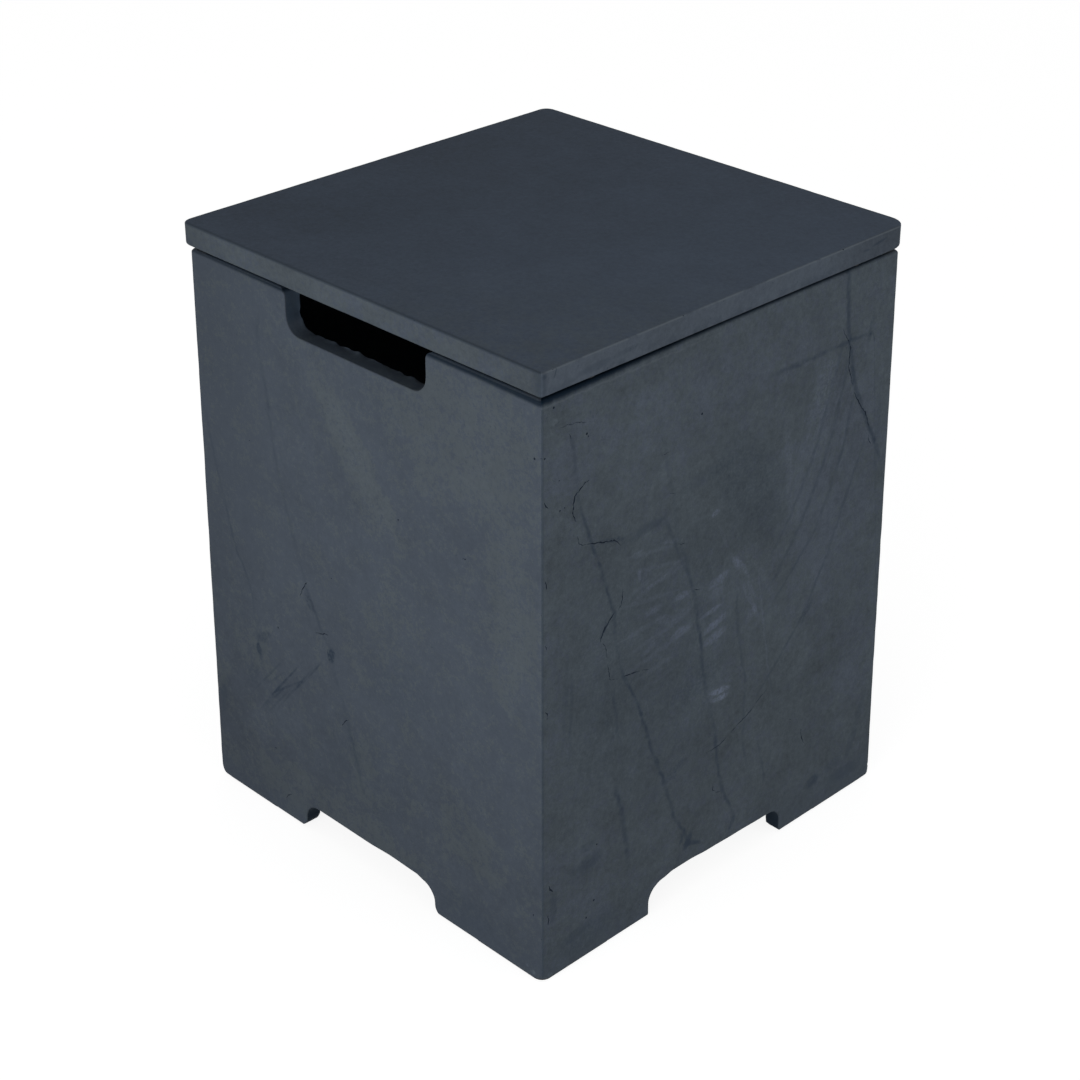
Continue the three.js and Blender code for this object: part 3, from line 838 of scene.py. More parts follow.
def slot_cutters(form):
    """Parts that cut the hand slots of the front and back walls."""
    def outline(grow):
        return notch_outline(form.slot_width, form.slot_depth, form.slot_corner, form.slot_mouth, grow)
    return [notch_cutter(wall, outline, RIM_Z, 1, form) for wall in WALLS if not wall.outward.x]


def arch_cutters(form):
    """Parts that cut the arches of all four walls, each with its own slightly uneven top."""
    cutters = []
    for wall in WALLS:
        knots = SECOND_ARCH_TOP if wall.second else FIRST_ARCH_TOP
        corner, mouth = form.arch_corners[wall.second], form.arch_mouths[wall.second]
        shift = form.arch_shifts[wall.second]

        def outline(grow, knots=knots, corner=corner, mouth=mouth, shift=shift):
            points = []
            for across, height in notch_outline(form.arch_width, form.arch_height, corner, mouth, grow):
                if height < 0:
                    height *= smooth_between(knots, 2 * across / form.arch_width)
                points.append((across + shift, height))
            return points
        cutters.append(notch_cutter(wall, outline, FOOT_Z, -1, form))
    return cutters


CRACK_STEP = 1.8 * MM
CRACK_JITTER = 0.5 * MM
PROUD = 0.6 * MM
LEAST_TAPER = 0.18
TAPER_POWER = 0.6
DEPTH_SPREAD = (0.3, 1.35)
LUMP_SPREAD = (0.75, 1.1)


def crack_path(crack, chance):
    """A crack's places at close steps, with small sideways jumps, in metres."""
    knots = [Vector((across * MM, height * MM)) for across, height in crack.points]
    path = []
    for start, end in zip(knots, knots[1:]):
        for share in spaced(0.0, 1.0, CRACK_STEP / (end - start).length):
            jump = CRACK_JITTER * Vector((chance.uniform(-1, 1), chance.uniform(-1, 1)))
            path.append(start.lerp(end, share) + jump)
    path.append(knots[-1])
    return path


def crack_cutter(wall, crack, chance, form):
    """A part that cuts a V-shaped groove along a crack, tapered to both ends."""
    path = crack_path(crack, chance)
    last = len(path) - 1
    places = []
    for index, place in enumerate(path):
        before = path[max(index - 1, 0)]
        after = path[min(index + 1, last)]
        along = (after - before).normalized()
        across = Vector((-along.y, along.x))
        taper = max(LEAST_TAPER, math.sin(math.pi * (index + 0.5) / len(path)) ** TAPER_POWER)
        taper *= chance.uniform(*DEPTH_SPREAD)
        depth = crack.depth * MM * taper
        spread = crack.width * MM / 2 * taper * (depth + PROUD) / depth
        left = place + across * spread
        right = place - across * spread
        places.append(face_point(wall, left.x, left.y, -PROUD, form))
        places.append(face_point(wall, right.x, right.y, -PROUD, form))
        places.append(face_point(wall, place.x, place.y, depth, form))
    return capped_part(places, [CRACK_SLOT] * last, (CRACK_SLOT, CRACK_SLOT))


def pebble_cutter(centre, radius, chance):
    """A lumpy ball that cuts a pit or a chip."""
    shape = bmesh.new()
    bmesh.ops.create_icosphere(shape, subdivisions=2, radius=1.0)
    places = [centre + vertex.co * radius * chance.uniform(*LUMP_SPREAD) for vertex in shape.verts]
    faces = [tuple(vertex.index for vertex in face.verts) for face in shape.faces]
    shape.free()
    return Part(places, faces, [CRACK_SLOT] * len(faces))


PIT_SINK_SHARE = 0.25
CHIP_SINK_SHARE = 0.35
MARK_SEED = 4


def crack_cutters(form, chance):
    """Parts that cut the open cracks of all four walls."""
    return [
        crack_cutter(wall, crack, chance, form)
        for wall in WALLS for crack in (SECOND_CRACKS if wall.second else FIRST_CRACKS)
    ]


def pebble_cutters(form, chance):
    """Parts that cut the pits, and the chips of the upright edges."""
    cutters = []
    for wall in WALLS:
        for pit in SECOND_PITS if wall.second else FIRST_PITS:
            sink = -PIT_SINK_SHARE * pit.radius * MM
            centre = face_point(wall, pit.across * MM, pit.height * MM, sink, form)
            cutters.append(pebble_cutter(centre, pit.radius * MM, chance))
    for quarter, chips in enumerate(EDGE_CHIPS):
        diagonal = Matrix.Rotation(quarter * QUARTER, 3, "Z") @ Vector((1, -1, 0)).normalized()
        upright = form.upright_radii[quarter - 1]
        for height, radius in chips:
            z = height * MM
            corner = math.sqrt(2) * (wall_half(z, form) - upright) + upright
            outward = corner + CHIP_SINK_SHARE * radius * MM
            centre = diagonal * outward + Vector((0, 0, z))
            cutters.append(pebble_cutter(centre, radius * MM, chance))
    return cutters


def build_shell(form, materials):
    """The whole shell, with its slots, arches and marks."""
    shell = build_shell_skin(form, materials)
    chance = random.Random(MARK_SEED)
    cut_away(shell, slot_cutters(form) + arch_cutters(form), materials)
    cut_away(shell, crack_cutters(form, chance), materials)
    cut_away(shell, pebble_cutters(form, chance), materials)
    finish_shading(shell)
    return shell


LID_EDGE_WEAR_SIZE = 8 * MM
LID_SHIFT = Vector((3.1, 7.9, 1.7))
LEAST_RING = 2 * MM
LARGEST_CORNER_SHARE = 0.5
LID_WEAR_START = 0.15
INSERT_PLAY = 0.3 * MM


def lid_levels(form):
    """(half side, height, edge share) of the lid's rings, from the middle below to the middle on top."""
    arc = quarter_round(ROUND_STEPS)
    low, high = LID_LOW.z, LID_HIGH.z
    below, above = form.low_round, form.top_round
    under = spaced(LID_HALF - below, LEAST_RING, form.skin_step)
    top = spaced(LID_HALF - above, LEAST_RING, form.skin_step)
    levels = [(half, low, 0.0) for half in reversed(under[1:])]
    levels += [(LID_HALF - below * inset, low + below * (1 - rise), rise) for inset, rise in reversed(arc)]
    levels += [(LID_HALF, z, 0.0) for z in spaced(low + below, high - above, form.skin_step / 2)[1:]]
    levels += [(LID_HALF - above * inset, high - above * (1 - rise), rise) for inset, rise in arc]
    levels += [(half, high, 0.0) for half in top[1:]]
    return levels


def build_lid(form, materials):
    """The slab lid, with the holes of its inserts."""
    levels = lid_levels(form)
    side_steps = round(2 * LID_HALF / form.skin_step)
    middle_z = (LID_LOW.z + LID_HIGH.z) / 2
    places = []
    for half, z, edge_share in levels:
        radii = [min(radius, half * LARGEST_CORNER_SHARE) for radius in form.corner_radii]
        is_side = half > LID_HALF - 1.01 * form.low_round
        for place, outward in square_ring(half, radii, side_steps, CORNER_STEPS):
            point = Vector((*place, z))
            sink = (1 + noise.noise(point / RIPPLE_SIZE + LID_SHIFT)) / 2
            if is_side:
                wear = max(0.0, noise.noise(point / LID_EDGE_WEAR_SIZE) - LID_WEAR_START) * form.edge_wear
                point -= Vector((*outward, 0)) * (sink * form.side_wander + wear * edge_share)
            if z > middle_z:
                point.z -= sink * form.hollow_depth
            else:
                point.z += sink * form.hollow_depth
            places.append(point)
    raw_top = LID_LOW.z + form.hollow_depth
    band_slots = [
        RAW_SLOT if z < raw_top and not edge_share else FACE_SLOT for half, z, edge_share in levels[:-1]
    ]
    part = capped_part(places, band_slots, (RAW_SLOT, FACE_SLOT))
    lid = object_of_parts("slab_lid", [part], materials)
    cutters = []
    for name in screw_names("cleat_insert"):
        low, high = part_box(name)
        bore = (high.x - low.x) / 2 + INSERT_PLAY
        cutters.append(bore_cutter((low + high) / 2, bore, LID_LOW.z - OVERRUN, high.z + INSERT_PLAY))
    chance = random.Random(MARK_SEED)
    for x, y, radius in LID_CHIPS:
        cutters.append(pebble_cutter(Vector((x * MM, y * MM, LID_HIGH.z)), radius * MM, chance))
    cut_away(lid, cutters, materials)
    finish_shading(lid)
    return lid


TURN_STEPS = 32


def screw_names(stem):
    """Node names of the screws or of their inserts."""
    return [f"{stem}_{corner}_{ending}" for corner in CORNERS for ending in SCREW_ENDINGS]


def turned_part(profile, middle=Vector((0, 0, 0)), slot=FACE_SLOT):
    """A part turned about an upright line, from (radius, height) points that start and end on that line. A
    radius may also be a function of the angle."""
    offset = Vector((middle.x, middle.y, 0))
    places = [offset + Vector((0, 0, profile[0][1]))]
    for radius, z in profile[1:-1]:
        for step in range(TURN_STEPS):
            angle = FULL_TURN * step / TURN_STEPS
            reach = radius(angle) if callable(radius) else radius
            places.append(offset + Vector((reach * math.cos(angle), reach * math.sin(angle), z)))
    places.append(offset + Vector((0, 0, profile[-1][1])))
    last = len(places) - 1
    faces = [tuple(1 + index for index in quad) for quad in grid_quads(len(profile) - 2, TURN_STEPS)]
    for step in range(TURN_STEPS):
        after = (step + 1) % TURN_STEPS
        faces.append((0, 1 + after, 1 + step))
        faces.append((last, last - TURN_STEPS + step, last - TURN_STEPS + after))
    return Part(places, faces, [slot] * len(faces))


def bore_cutter(middle, radius, low, high):
    """A part that cuts an upright round hole into raw concrete."""
    return turned_part([(0, low), (radius, low), (radius, high), (0, high)], middle, RAW_SLOT)


def corner_turn(corner):
    """Turns a piece drawn for the back right corner round to another one."""
    quarter = {"back_right": 0, "back_left": 1, "front_left": 2, "front_right": 3}[corner]
    return Matrix.Rotation(quarter * QUARTER, 4, "Z")


def corner_outline(reach, leg, width, outer, end, inset):
    """An L whose outer corner lies at (reach, reach) and whose legs run back along -X and -Y, drawn in by
    an inset."""
    top = reach - inset
    outer = max(outer - inset, LEAST_ROUND)
    end = max(end - inset, LEAST_ROUND)
    tip = reach - leg + inset
    inner = reach - width + inset
    fillet = end + 2 * inset
    points = arc_points((top - outer, top - outer), outer, 0, 1)
    points += arc_points((tip + end, top - end), end, 1, 2)
    points += arc_points((tip + end, inner + end), end, 2, 3)
    points += arc_points((inner - fillet, inner - fillet), fillet, 1, 0)
    points += arc_points((inner + end, tip + end), end, 2, 3)
    points += arc_points((top - end, tip + end), end, 3, 4)
    return points


def corner_part(low, high, width, outer, end, edge, both_edges):
    """A moulded L in the box of the back right corner, with its lower edges rounded, or both."""
    levels = [(edge * (1 - rise), low.z + edge * inset) for inset, rise in quarter_round(ROUND_STEPS)]
    if both_edges:
        levels += [(inset, low.z + high.z - z) for inset, z in reversed(levels)]
    else:
        levels.append((0.0, high.z))
    places = []
    for inset, z in levels:
        outline = corner_outline(high.x, high.x - low.x, width, outer, end, inset)
        places += [Vector((*place, z)) for place in outline]
    return capped_part(places, [FACE_SLOT] * (len(levels) - 1), (FACE_SLOT, FACE_SLOT))


SCREW_PLAY = 0.3 * MM


def build_cleat(corner, form, material):
    """A cleat under a corner of the lid, with the sunk holes of its two screws."""
    low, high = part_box("lid_cleat_back_right")
    part = corner_part(
        low, high, form.cleat_leg_width, form.cleat_corner, form.cleat_end, form.cleat_edge, False)
    cleat = object_of_parts(f"corner_cleat_{corner}", [part], [material])
    cutters = []
    for ending in SCREW_ENDINGS:
        screw_low, screw_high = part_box(f"cleat_screw_back_right_{ending}")
        middle = (screw_low + screw_high) / 2
        seat = screw_low.z + form.screw_head_height
        hole = form.screw_diameter / 2 + SCREW_PLAY
        sunk = form.counterbore_width / 2
        profile = [(0, low.z - OVERRUN), (sunk, low.z - OVERRUN), (sunk, seat), (hole, seat)]
        profile += [(hole, high.z + OVERRUN), (0, high.z + OVERRUN)]
        cutters.append(turned_part(profile, middle))
    cut_away(cleat, cutters, [material])
    cleat.data.transform(corner_turn(corner))
    finish_shading(cleat)
    return cleat


def build_foot_pad(corner, form, material):
    """A rubber pad under a corner of the shell."""
    low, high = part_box("foot_pad_back_right")
    part = corner_part(low, high, form.pad_leg_width, form.pad_corner, form.pad_end, form.rubber_edge, True)
    pad = object_of_parts(f"rubber_pad_{corner}", [part], [material])
    pad.data.transform(corner_turn(corner))
    finish_shading(pad)
    return pad


def build_bumper(corner, form, material):
    """A round rubber bumper under the lid."""
    low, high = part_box(f"lid_bumper_{corner}")
    radius = (high.x - low.x) / 2
    edge = form.rubber_edge
    arc = [(radius - edge * (1 - rise), low.z + edge * inset) for inset, rise in quarter_round(ROUND_STEPS)]
    profile = [(0, low.z), *arc, (radius, high.z), (0, high.z)]
    bumper = object_of_parts(f"round_bumper_{corner}", [turned_part(profile, (low + high) / 2)], [material])
    finish_shading(bumper)
    return bumper


HEAD_STEPS = 5
HEAD_FLAT_SHARE = 0.5
HEAD_DOME_SHARE = 0.9
TIP_SHARE = 0.6
THREAD_ROWS_PER_TURN = 6
TIP_TAPER = 1.2 * MM
RECESS_DEPTH_SHARE = 0.6
RECESS_BLADE_SHARE = 0.2
RECESS_FLARE = 1.25
RECESS_LEAST = 0.45


def screw_part(low, high, form):
    """The head and the threaded shank of a screw that points up, on the upright line at the middle."""
    head = (high.x - low.x) / 2
    seat = low.z + form.screw_head_height
    crest = form.screw_diameter / 2
    root = crest - form.thread_depth
    profile = [(0, low.z)]
    profile += [
        (head * (HEAD_FLAT_SHARE + (1 - HEAD_FLAT_SHARE) * rise),
         low.z + form.screw_head_height * inset * HEAD_DOME_SHARE)
        for inset, rise in quarter_round(HEAD_STEPS)
    ]
    profile += [(head, seat), (crest, seat)]
    row = form.thread_pitch / THREAD_ROWS_PER_TURN
    for z in spaced(seat + row, high.z - row, row):
        taper = min(1.0, (high.z - z) / TIP_TAPER)

        def radius(angle, z=z, taper=taper):
            turn = (z - seat) / form.thread_pitch - angle / FULL_TURN
            ridge = 1 - 2 * abs(turn % 1 - 0.5)
            return (root + form.thread_depth * ridge) * (TIP_SHARE + (1 - TIP_SHARE) * taper)
        profile.append((radius, z))
    profile.append((0, high.z))
    return turned_part(profile)


def recess_part(low, form):
    """A part that cuts the cross into a screw's head, narrower towards its bottom."""
    reach = form.recess_span / 2
    blade = form.recess_span * RECESS_BLADE_SHARE / 2
    outline = []
    for quarter in range(4):
        turn = Matrix.Rotation(quarter * QUARTER, 2)
        outline += [turn @ Vector(place) for place in ((blade, -blade), (reach, -blade), (reach, blade))]
    depth = form.screw_head_height * RECESS_DEPTH_SHARE
    places = []
    for share, z in ((RECESS_FLARE, low.z - depth), (1.0, low.z), (RECESS_LEAST, low.z + depth)):
        places += [Vector((*(place * share), z)) for place in outline]
    return capped_part(places, [FACE_SLOT] * 2, (FACE_SLOT, FACE_SLOT))


def build_screws(form, material):
    """A screw for each CAD screw, all of one mesh."""
    names = screw_names("cleat_screw")
    low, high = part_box(names[0])
    first = object_of_parts(f"threaded_{names[0]}", [screw_part(low, high, form)], [material])
    cut_away(first, [recess_part(low, form)], [material])
    finish_shading(first)
    screws = [first] + [add_object(f"threaded_{name}", first.data) for name in names[1:]]
    for name, screw in zip(names, screws):
        low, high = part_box(name)
        screw.location = (*((low + high) / 2).xy, 0)
    return dict(zip(names, screws))


# Node trees

NODE_STEP = 190
ROW_STEP = 240
NODES_PER_ROW = 12


class Graph:
    """Places and joins the nodes of one tree."""

    def __init__(self, tree):
        self.tree = tree
        tree.nodes.clear()

    def place(self, kind, inputs=None, **settings):
        node = self.tree.nodes.new(kind)
        count = len(self.tree.nodes) - 1
        node.location = (count % NODES_PER_ROW * NODE_STEP, -(count // NODES_PER_ROW) * ROW_STEP)
        for name, value in settings.items():
            setattr(node, name, value)
        for name, value in (inputs or {}).items():
            self.feed(node.inputs[name], value)
        return node

    def feed(self, socket, value):
        if isinstance(value, bpy.types.NodeSocket):
            self.tree.links.new(value, socket)
        elif socket.type == "RGBA" and len(value) == 3:
            socket.default_value = (*value, 1.0)
        else:
            socket.default_value = value

    def math(self, operation, *values, clamp=False):
        node = self.place("ShaderNodeMath", operation=operation, use_clamp=clamp)
        for socket, value in zip(node.inputs, values):
            self.feed(socket, value)
        return node.outputs[0]

    def plus(self, first, second):
        return self.math("ADD", first, second)

    def minus(self, first, second):
        return self.math("SUBTRACT", first, second)

    def times(self, *values):
        """The product of the values."""
        answer = values[0]
        for value in values[1:]:
            answer = self.math("MULTIPLY", answer, value)
        return answer

    def sloped(self, value, slope, start):
        """A value times a slope, added to a start."""
        return self.math("MULTIPLY_ADD", value, slope, start)

    def total(self, terms):
        """The sum of (value, weight) terms."""
        answer = 0.0
        for value, weight in terms:
            answer = self.sloped(value, weight, answer)
        return answer

    def ease(self, value, low, high, to_low=0.0, to_high=1.0):
        """A smooth step of a value from low to high."""
        places = {0: value, 1: low, 2: high, 3: to_low, 4: to_high}
        return self.place("ShaderNodeMapRange", places, interpolation_type="SMOOTHSTEP").outputs[0]

    def pick(self, second, first_value, second_value):
        """The first value where the share is 0, and the second where it is 1."""
        return self.place("ShaderNodeMix", {0: second, 2: first_value, 3: second_value}).outputs[0]

    def mix(self, share, first, second):
        """A colour between two, by a share."""
        node = self.place("ShaderNodeMix", {0: share, 6: first, 7: second}, data_type="RGBA")
        return node.outputs[2]

    def layered(self, colour, layers):
        """A colour with (share, colour) layers over it."""
        for share, layer in layers:
            colour = self.mix(share, colour, layer)
        return colour

    def scaled(self, vector, share):
        node = self.place("ShaderNodeVectorMath", {0: vector}, operation="SCALE")
        self.feed(node.inputs["Scale"], share)
        return node.outputs[0]

    def cloud(self, place, size, detail=2.0, roughness=0.5):
        """Soft noise from 0 to 1 whose lumps are about the given size."""
        inputs = {"Vector": place, "Scale": 1 / size, "Detail": detail, "Roughness": roughness}
        return self.place("ShaderNodeTexNoise", inputs).outputs[0]

    def wander(self, place, size, reach, detail=3.0, roughness=0.5):
        """Soft noise about 0 that stays within a reach."""
        return self.sloped(self.cloud(place, size, detail, roughness), 2 * reach, -reach)

    def group(self, name, inputs=None):
        """The outputs of a shared group."""
        return self.place("ShaderNodeGroup", inputs, node_tree=shared_group(name)).outputs

    def line(self, value, knots, span):
        """A line through (place, value) knots, both from 0 to 1 over the given spans."""
        place_span, value_span = span
        node = self.place("ShaderNodeFloatCurve", {"Value": value})
        curve = node.mapping.curves[0]
        shares = [(place / place_span, knot_value / value_span) for place, knot_value in sorted(knots)]
        curve.points[0].location = (0.0, shares[0][1])
        curve.points[1].location = (1.0, shares[-1][1])
        for share in shares:
            curve.points.new(*share)
        for point in curve.points:
            point.handle_type = "VECTOR"
        node.mapping.update()
        return node.outputs[0]


def socket_kind(name):
    """The kind of a group's socket: a place is a vector, and all others are numbers."""
    return "NodeSocketVector" if name == "Place" else "NodeSocketFloat"


def new_group(name, inputs, outputs):
    """A new group's graph, and the sockets that its inputs come from and its outputs go to. The inputs are
    given with their defaults, and a place has none."""
    tree = bpy.data.node_groups.new(name, "ShaderNodeTree")
    for each, default in inputs.items():
        socket = tree.interface.new_socket(each, in_out="INPUT", socket_type=socket_kind(each))
        if default is not None:
            socket.default_value = default
    for each in outputs:
        tree.interface.new_socket(each, in_out="OUTPUT", socket_type=socket_kind(each))
    graph = Graph(tree)
    return graph, graph.place("NodeGroupInput").outputs, graph.place("NodeGroupOutput").inputs


def table_place_group():
    """Where a point lies on the table, in millimetres."""
    graph, _, end = new_group(
        "Table Place", {}, ("Place", "Across", "Height", "Second Pair", "Upright Edge", "Reach"))
    place = graph.scaled(graph.place("ShaderNodeTexCoord").outputs["Object"], 1 / MM)
    x, y, height = graph.place("ShaderNodeSeparateXYZ", {0: place}).outputs
    x_size = graph.math("ABSOLUTE", x)
    y_size = graph.math("ABSOLUTE", y)
    is_side = graph.math("GREATER_THAN", x_size, y_size)
    reach = graph.math("MAXIMUM", x_size, y_size)
    graph.feed(end["Place"], place)
    graph.feed(end["Across"], graph.sloped(is_side, graph.minus(y, x), x))
    graph.feed(end["Height"], height)
    graph.feed(end["Second Pair"], graph.math("GREATER_THAN", graph.plus(x, y), 0.0))
    graph.feed(end["Upright Edge"], graph.minus(reach, graph.math("MINIMUM", x_size, y_size)))
    graph.feed(end["Reach"], reach)
    return graph.tree


FINE_GAIN = 11.0
HUE_SPECKLE = 1.8


def cloud_mottle_group():
    """Cloudy tone and hue of cast concrete, with broad and fine shares. The tone runs from about -1 to 1."""
    graph, start, end = new_group(
        "Cloud Mottle", {"Place": None, "Broad Share": 1.0, "Fine Share": 0.3}, ("Tone", "Hue"))
    place = start["Place"]
    broad = graph.minus(graph.cloud(place, 95.0, 3.0, 0.55), 0.5)
    middle = graph.minus(graph.cloud(place, 27.0, 2.0, 0.6), 0.5)
    fine = graph.minus(graph.cloud(place, 5.5, 4.0, 0.9), 0.5)
    clouds = graph.times(graph.total(((broad, 1.6), (middle, 1.5))), start["Broad Share"])
    graph.feed(end["Tone"], graph.sloped(graph.times(fine, start["Fine Share"]), FINE_GAIN, clouds))
    graph.feed(end["Hue"], graph.total((
        (graph.cloud(place, 22.0, 6.0, 0.85), 2.0), (1.0, -0.5),
        (graph.cloud(place, 4.0, 3.0, 1.0), HUE_SPECKLE), (1.0, -HUE_SPECKLE / 2))))
    return graph.tree


def brush_streaks_group():
    """Streaks that a brush or trowel leaves, from about -1 to 1."""
    graph, start, end = new_group(
        "Brush Streaks", {"Across": 0.0, "Height": 0.0, "Angle": 0.0, "Length": 60.0, "Width": 4.0},
        ("Streak",))
    along, aside = turned_place(graph, start["Across"], start["Height"], start["Angle"])
    along = graph.math("DIVIDE", along, start["Length"])
    aside = graph.math("DIVIDE", aside, start["Width"])
    place = graph.place("ShaderNodeCombineXYZ", {0: along, 1: aside}).outputs[0]
    graph.feed(end["Streak"], graph.wander(place, 1.0, 2.0, 2.0))
    return graph.tree


def turned_place(graph, across, height, angle):
    """Places along and aside of a line at an angle to the ground."""
    cosine = graph.math("COSINE", angle)
    sine = graph.math("SINE", angle)
    along = graph.sloped(height, sine, graph.times(across, cosine))
    aside = graph.minus(graph.times(height, cosine), graph.times(across, sine))
    return along, aside


def path_mark_group():
    """A mark that follows a path: full on it, and gone at its half width."""
    graph, start, end = new_group(
        "Path Mark", {"Across": 0.0, "Path": 0.0, "Half Width": 2.0, "Strength": 1.0}, ("Mask",))
    gap = graph.math("ABSOLUTE", graph.minus(start["Across"], start["Path"]))
    mask = graph.ease(graph.math("DIVIDE", gap, start["Half Width"]), 1.3, 0.1)
    graph.feed(end["Mask"], graph.times(mask, start["Strength"]))
    return graph.tree


def soft_patch_group():
    """A soft oval mark."""
    graph, start, end = new_group("Soft Patch", {
        "Across": 0.0, "Height": 0.0, "Centre Across": 0.0, "Centre Height": 0.0, "Angle": 0.0,
        "Half Length": 10.0, "Half Width": 5.0, "Strength": 1.0,
    }, ("Mask",))
    across = graph.minus(start["Across"], start["Centre Across"])
    height = graph.minus(start["Height"], start["Centre Height"])
    along, aside = turned_place(graph, across, height, start["Angle"])
    along = graph.math("DIVIDE", along, start["Half Length"])
    aside = graph.math("DIVIDE", aside, start["Half Width"])
    square = graph.sloped(along, along, graph.times(aside, aside))
    graph.feed(end["Mask"], graph.times(graph.ease(square, 1.5, 0.1), start["Strength"]))
    return graph.tree


def fine_grain_group():
    """Sandy grain: a height from 0 to 1 for bumps, and sparse specks."""
    graph, start, end = new_group("Fine Grain", {"Place": None, "Grain Size": 1.4}, ("Height", "Specks"))
    place = graph.scaled(start["Place"], graph.math("DIVIDE", 1.0, start["Grain Size"]))
    graph.feed(end["Height"], graph.cloud(place, 1.0, 2.0, 0.6))
    graph.feed(end["Specks"], graph.ease(graph.cloud(place, 2.2, 1.0), 0.70, 0.80))
    return graph.tree


def edge_wear_and_shade_group():
    """A band along an edge, within a reach of it and broken up along it. It marks rubbed wear, a dark line on
    the upright edges, and painted shade along the lid's lower edge.
    """
    graph, start, end = new_group(
        "Edge Wear And Shade", {"Place": None, "Distance": 0.0, "Reach": 3.0, "Cover": 0.5, "Patch Size": 9.0},
        ("Mask",))
    place = graph.scaled(start["Place"], graph.math("DIVIDE", 1.0, start["Patch Size"]))
    needed = graph.minus(0.85, graph.times(start["Cover"], 0.7))
    broken = graph.ease(graph.cloud(place, 1.0, 3.0, 0.6), needed, graph.plus(needed, 0.12))
    near = graph.ease(graph.math("DIVIDE", start["Distance"], start["Reach"]), 1.0, 0.3)
    graph.feed(end["Mask"], graph.times(near, broken))
    return graph.tree


def foot_darkening_group():
    """A share that is full at the ground and fades out at an uneven height above it."""
    graph, start, end = new_group("Damp Foot", {"Place": None, "Height": 0.0, "Rise": 45.0}, ("Mask",))
    top = graph.plus(start["Height"], graph.wander(start["Place"], 40.0, 25.0))
    graph.feed(end["Mask"], graph.ease(graph.math("DIVIDE", top, start["Rise"]), 1.4, 0.0))
    return graph.tree


GROUP_MAKERS = {
    "Table Place": table_place_group,
    "Cloud Mottle": cloud_mottle_group,
    "Brush Streaks": brush_streaks_group,
    "Path Mark": path_mark_group,
    "Soft Patch": soft_patch_group,
    "Fine Grain": fine_grain_group,
    "Edge Wear And Shade": edge_wear_and_shade_group,
    "Damp Foot": foot_darkening_group,
}


def shared_group(name):
    """The group of a name, made at its first use."""
    return bpy.data.node_groups.get(name) or GROUP_MAKERS[name]()


# Marks

WOBBLE_SIZE = 7.0
WOBBLE = 2.6
STRENGTH_SPAN = 1.4
SCRATCH_STRENGTH = 1.3
MARK_SPAN = 406.0
PLACE_SPAN = 520.0


def main_values(where):
    """The place, the way across and the height of a point, and whether it is on the second pair."""
    return (where[name] for name in ("Place", "Across", "Height", "Second Pair"))


def vein_mask(graph, vein, height, across):
    """The mask of one vein. It runs along the height, or across where the two are swapped."""
    shift = MARK_SPAN / 2
    path_knots = [(knot[0], knot[1] + shift) for knot in vein.points]
    strength_knots = [(knot[0], knot[2]) for knot in vein.points]
    share = graph.math("DIVIDE", height, PLACE_SPAN)
    path = graph.line(share, path_knots, (PLACE_SPAN, MARK_SPAN))
    strength = graph.line(share, strength_knots, (PLACE_SPAN, STRENGTH_SPAN))
    return graph.group("Path Mark", {
        "Across": across, "Path": graph.sloped(path, MARK_SPAN, -shift), "Half Width": vein.half_width,
        "Strength": graph.times(strength, STRENGTH_SPAN),
    })["Mask"]


def sum_of_veins(graph, veins, height, across):
    """The sum of the veins' masks."""
    return graph.total([(vein_mask(graph, vein, height, across), 1.0) for vein in veins])


def patch_mask(graph, patch, across, height):
    """The mask of one patch."""
    return graph.group("Soft Patch", {
        "Across": across, "Height": height, "Centre Across": patch.across, "Centre Height": patch.height,
        "Angle": math.radians(patch.angle), "Half Length": patch.half_length,
        "Half Width": patch.half_width, "Strength": patch.strength,
    })["Mask"]


def sum_of_patches(graph, patches, across, height):
    """The sum of the patches' masks."""
    return graph.total([(patch_mask(graph, patch, across, height), 1.0) for patch in patches])


def scratch_patches():
    """The fine scratches as narrow patches."""
    patches = []
    for across, height, far_across, far_height, strength in FIRST_SCRATCHES:
        run = Vector((far_across - across, far_height - height))
        middle = Vector((across, height)) + run / 2
        angle = math.degrees(math.atan2(run.y, run.x))
        patches.append(Patch(middle.x, middle.y, run.length / 2, SCRATCH_HALF_WIDTH, angle, strength))
    return patches


# Brushed zones of the walls: where each lies, and the length and width of its streaks, which run along it
Brushed = namedtuple("Brushed", "patch streak_length streak_width")
FIRST_BRUSHED = (
    Brushed(Patch(170, 300, 85, 32, 90, 0.55), 70.0, 5.0),
    Brushed(Patch(10, 250, 45, 30, 45, 0.35), 40.0, 3.5),
)
SECOND_BRUSHED = (
    Brushed(Patch(-50, 290, 75, 62, 3, 0.8), 45.0, 9.0),
    Brushed(Patch(115, 370, 75, 42, 68, 1.1), 60.0, 4.2),
)


def sum_of_brushed(graph, zones, across, height):
    """The sum of the streaks of brushed zones."""
    terms = []
    for zone in zones:
        streak = graph.group("Brush Streaks", {
            "Across": across, "Height": height, "Angle": math.radians(zone.patch.angle),
            "Length": zone.streak_length, "Width": zone.streak_width,
        })["Streak"]
        terms.append((streak, patch_mask(graph, zone.patch, across, height)))
    return graph.total(terms)


def rubbed(graph, place, distance, reach, cover, patch_size):
    """A band along an edge, for rubbed wear and for painted shade."""
    return graph.group("Edge Wear And Shade", {
        "Place": place, "Distance": distance, "Reach": reach, "Cover": cover, "Patch Size": patch_size,
    })["Mask"]


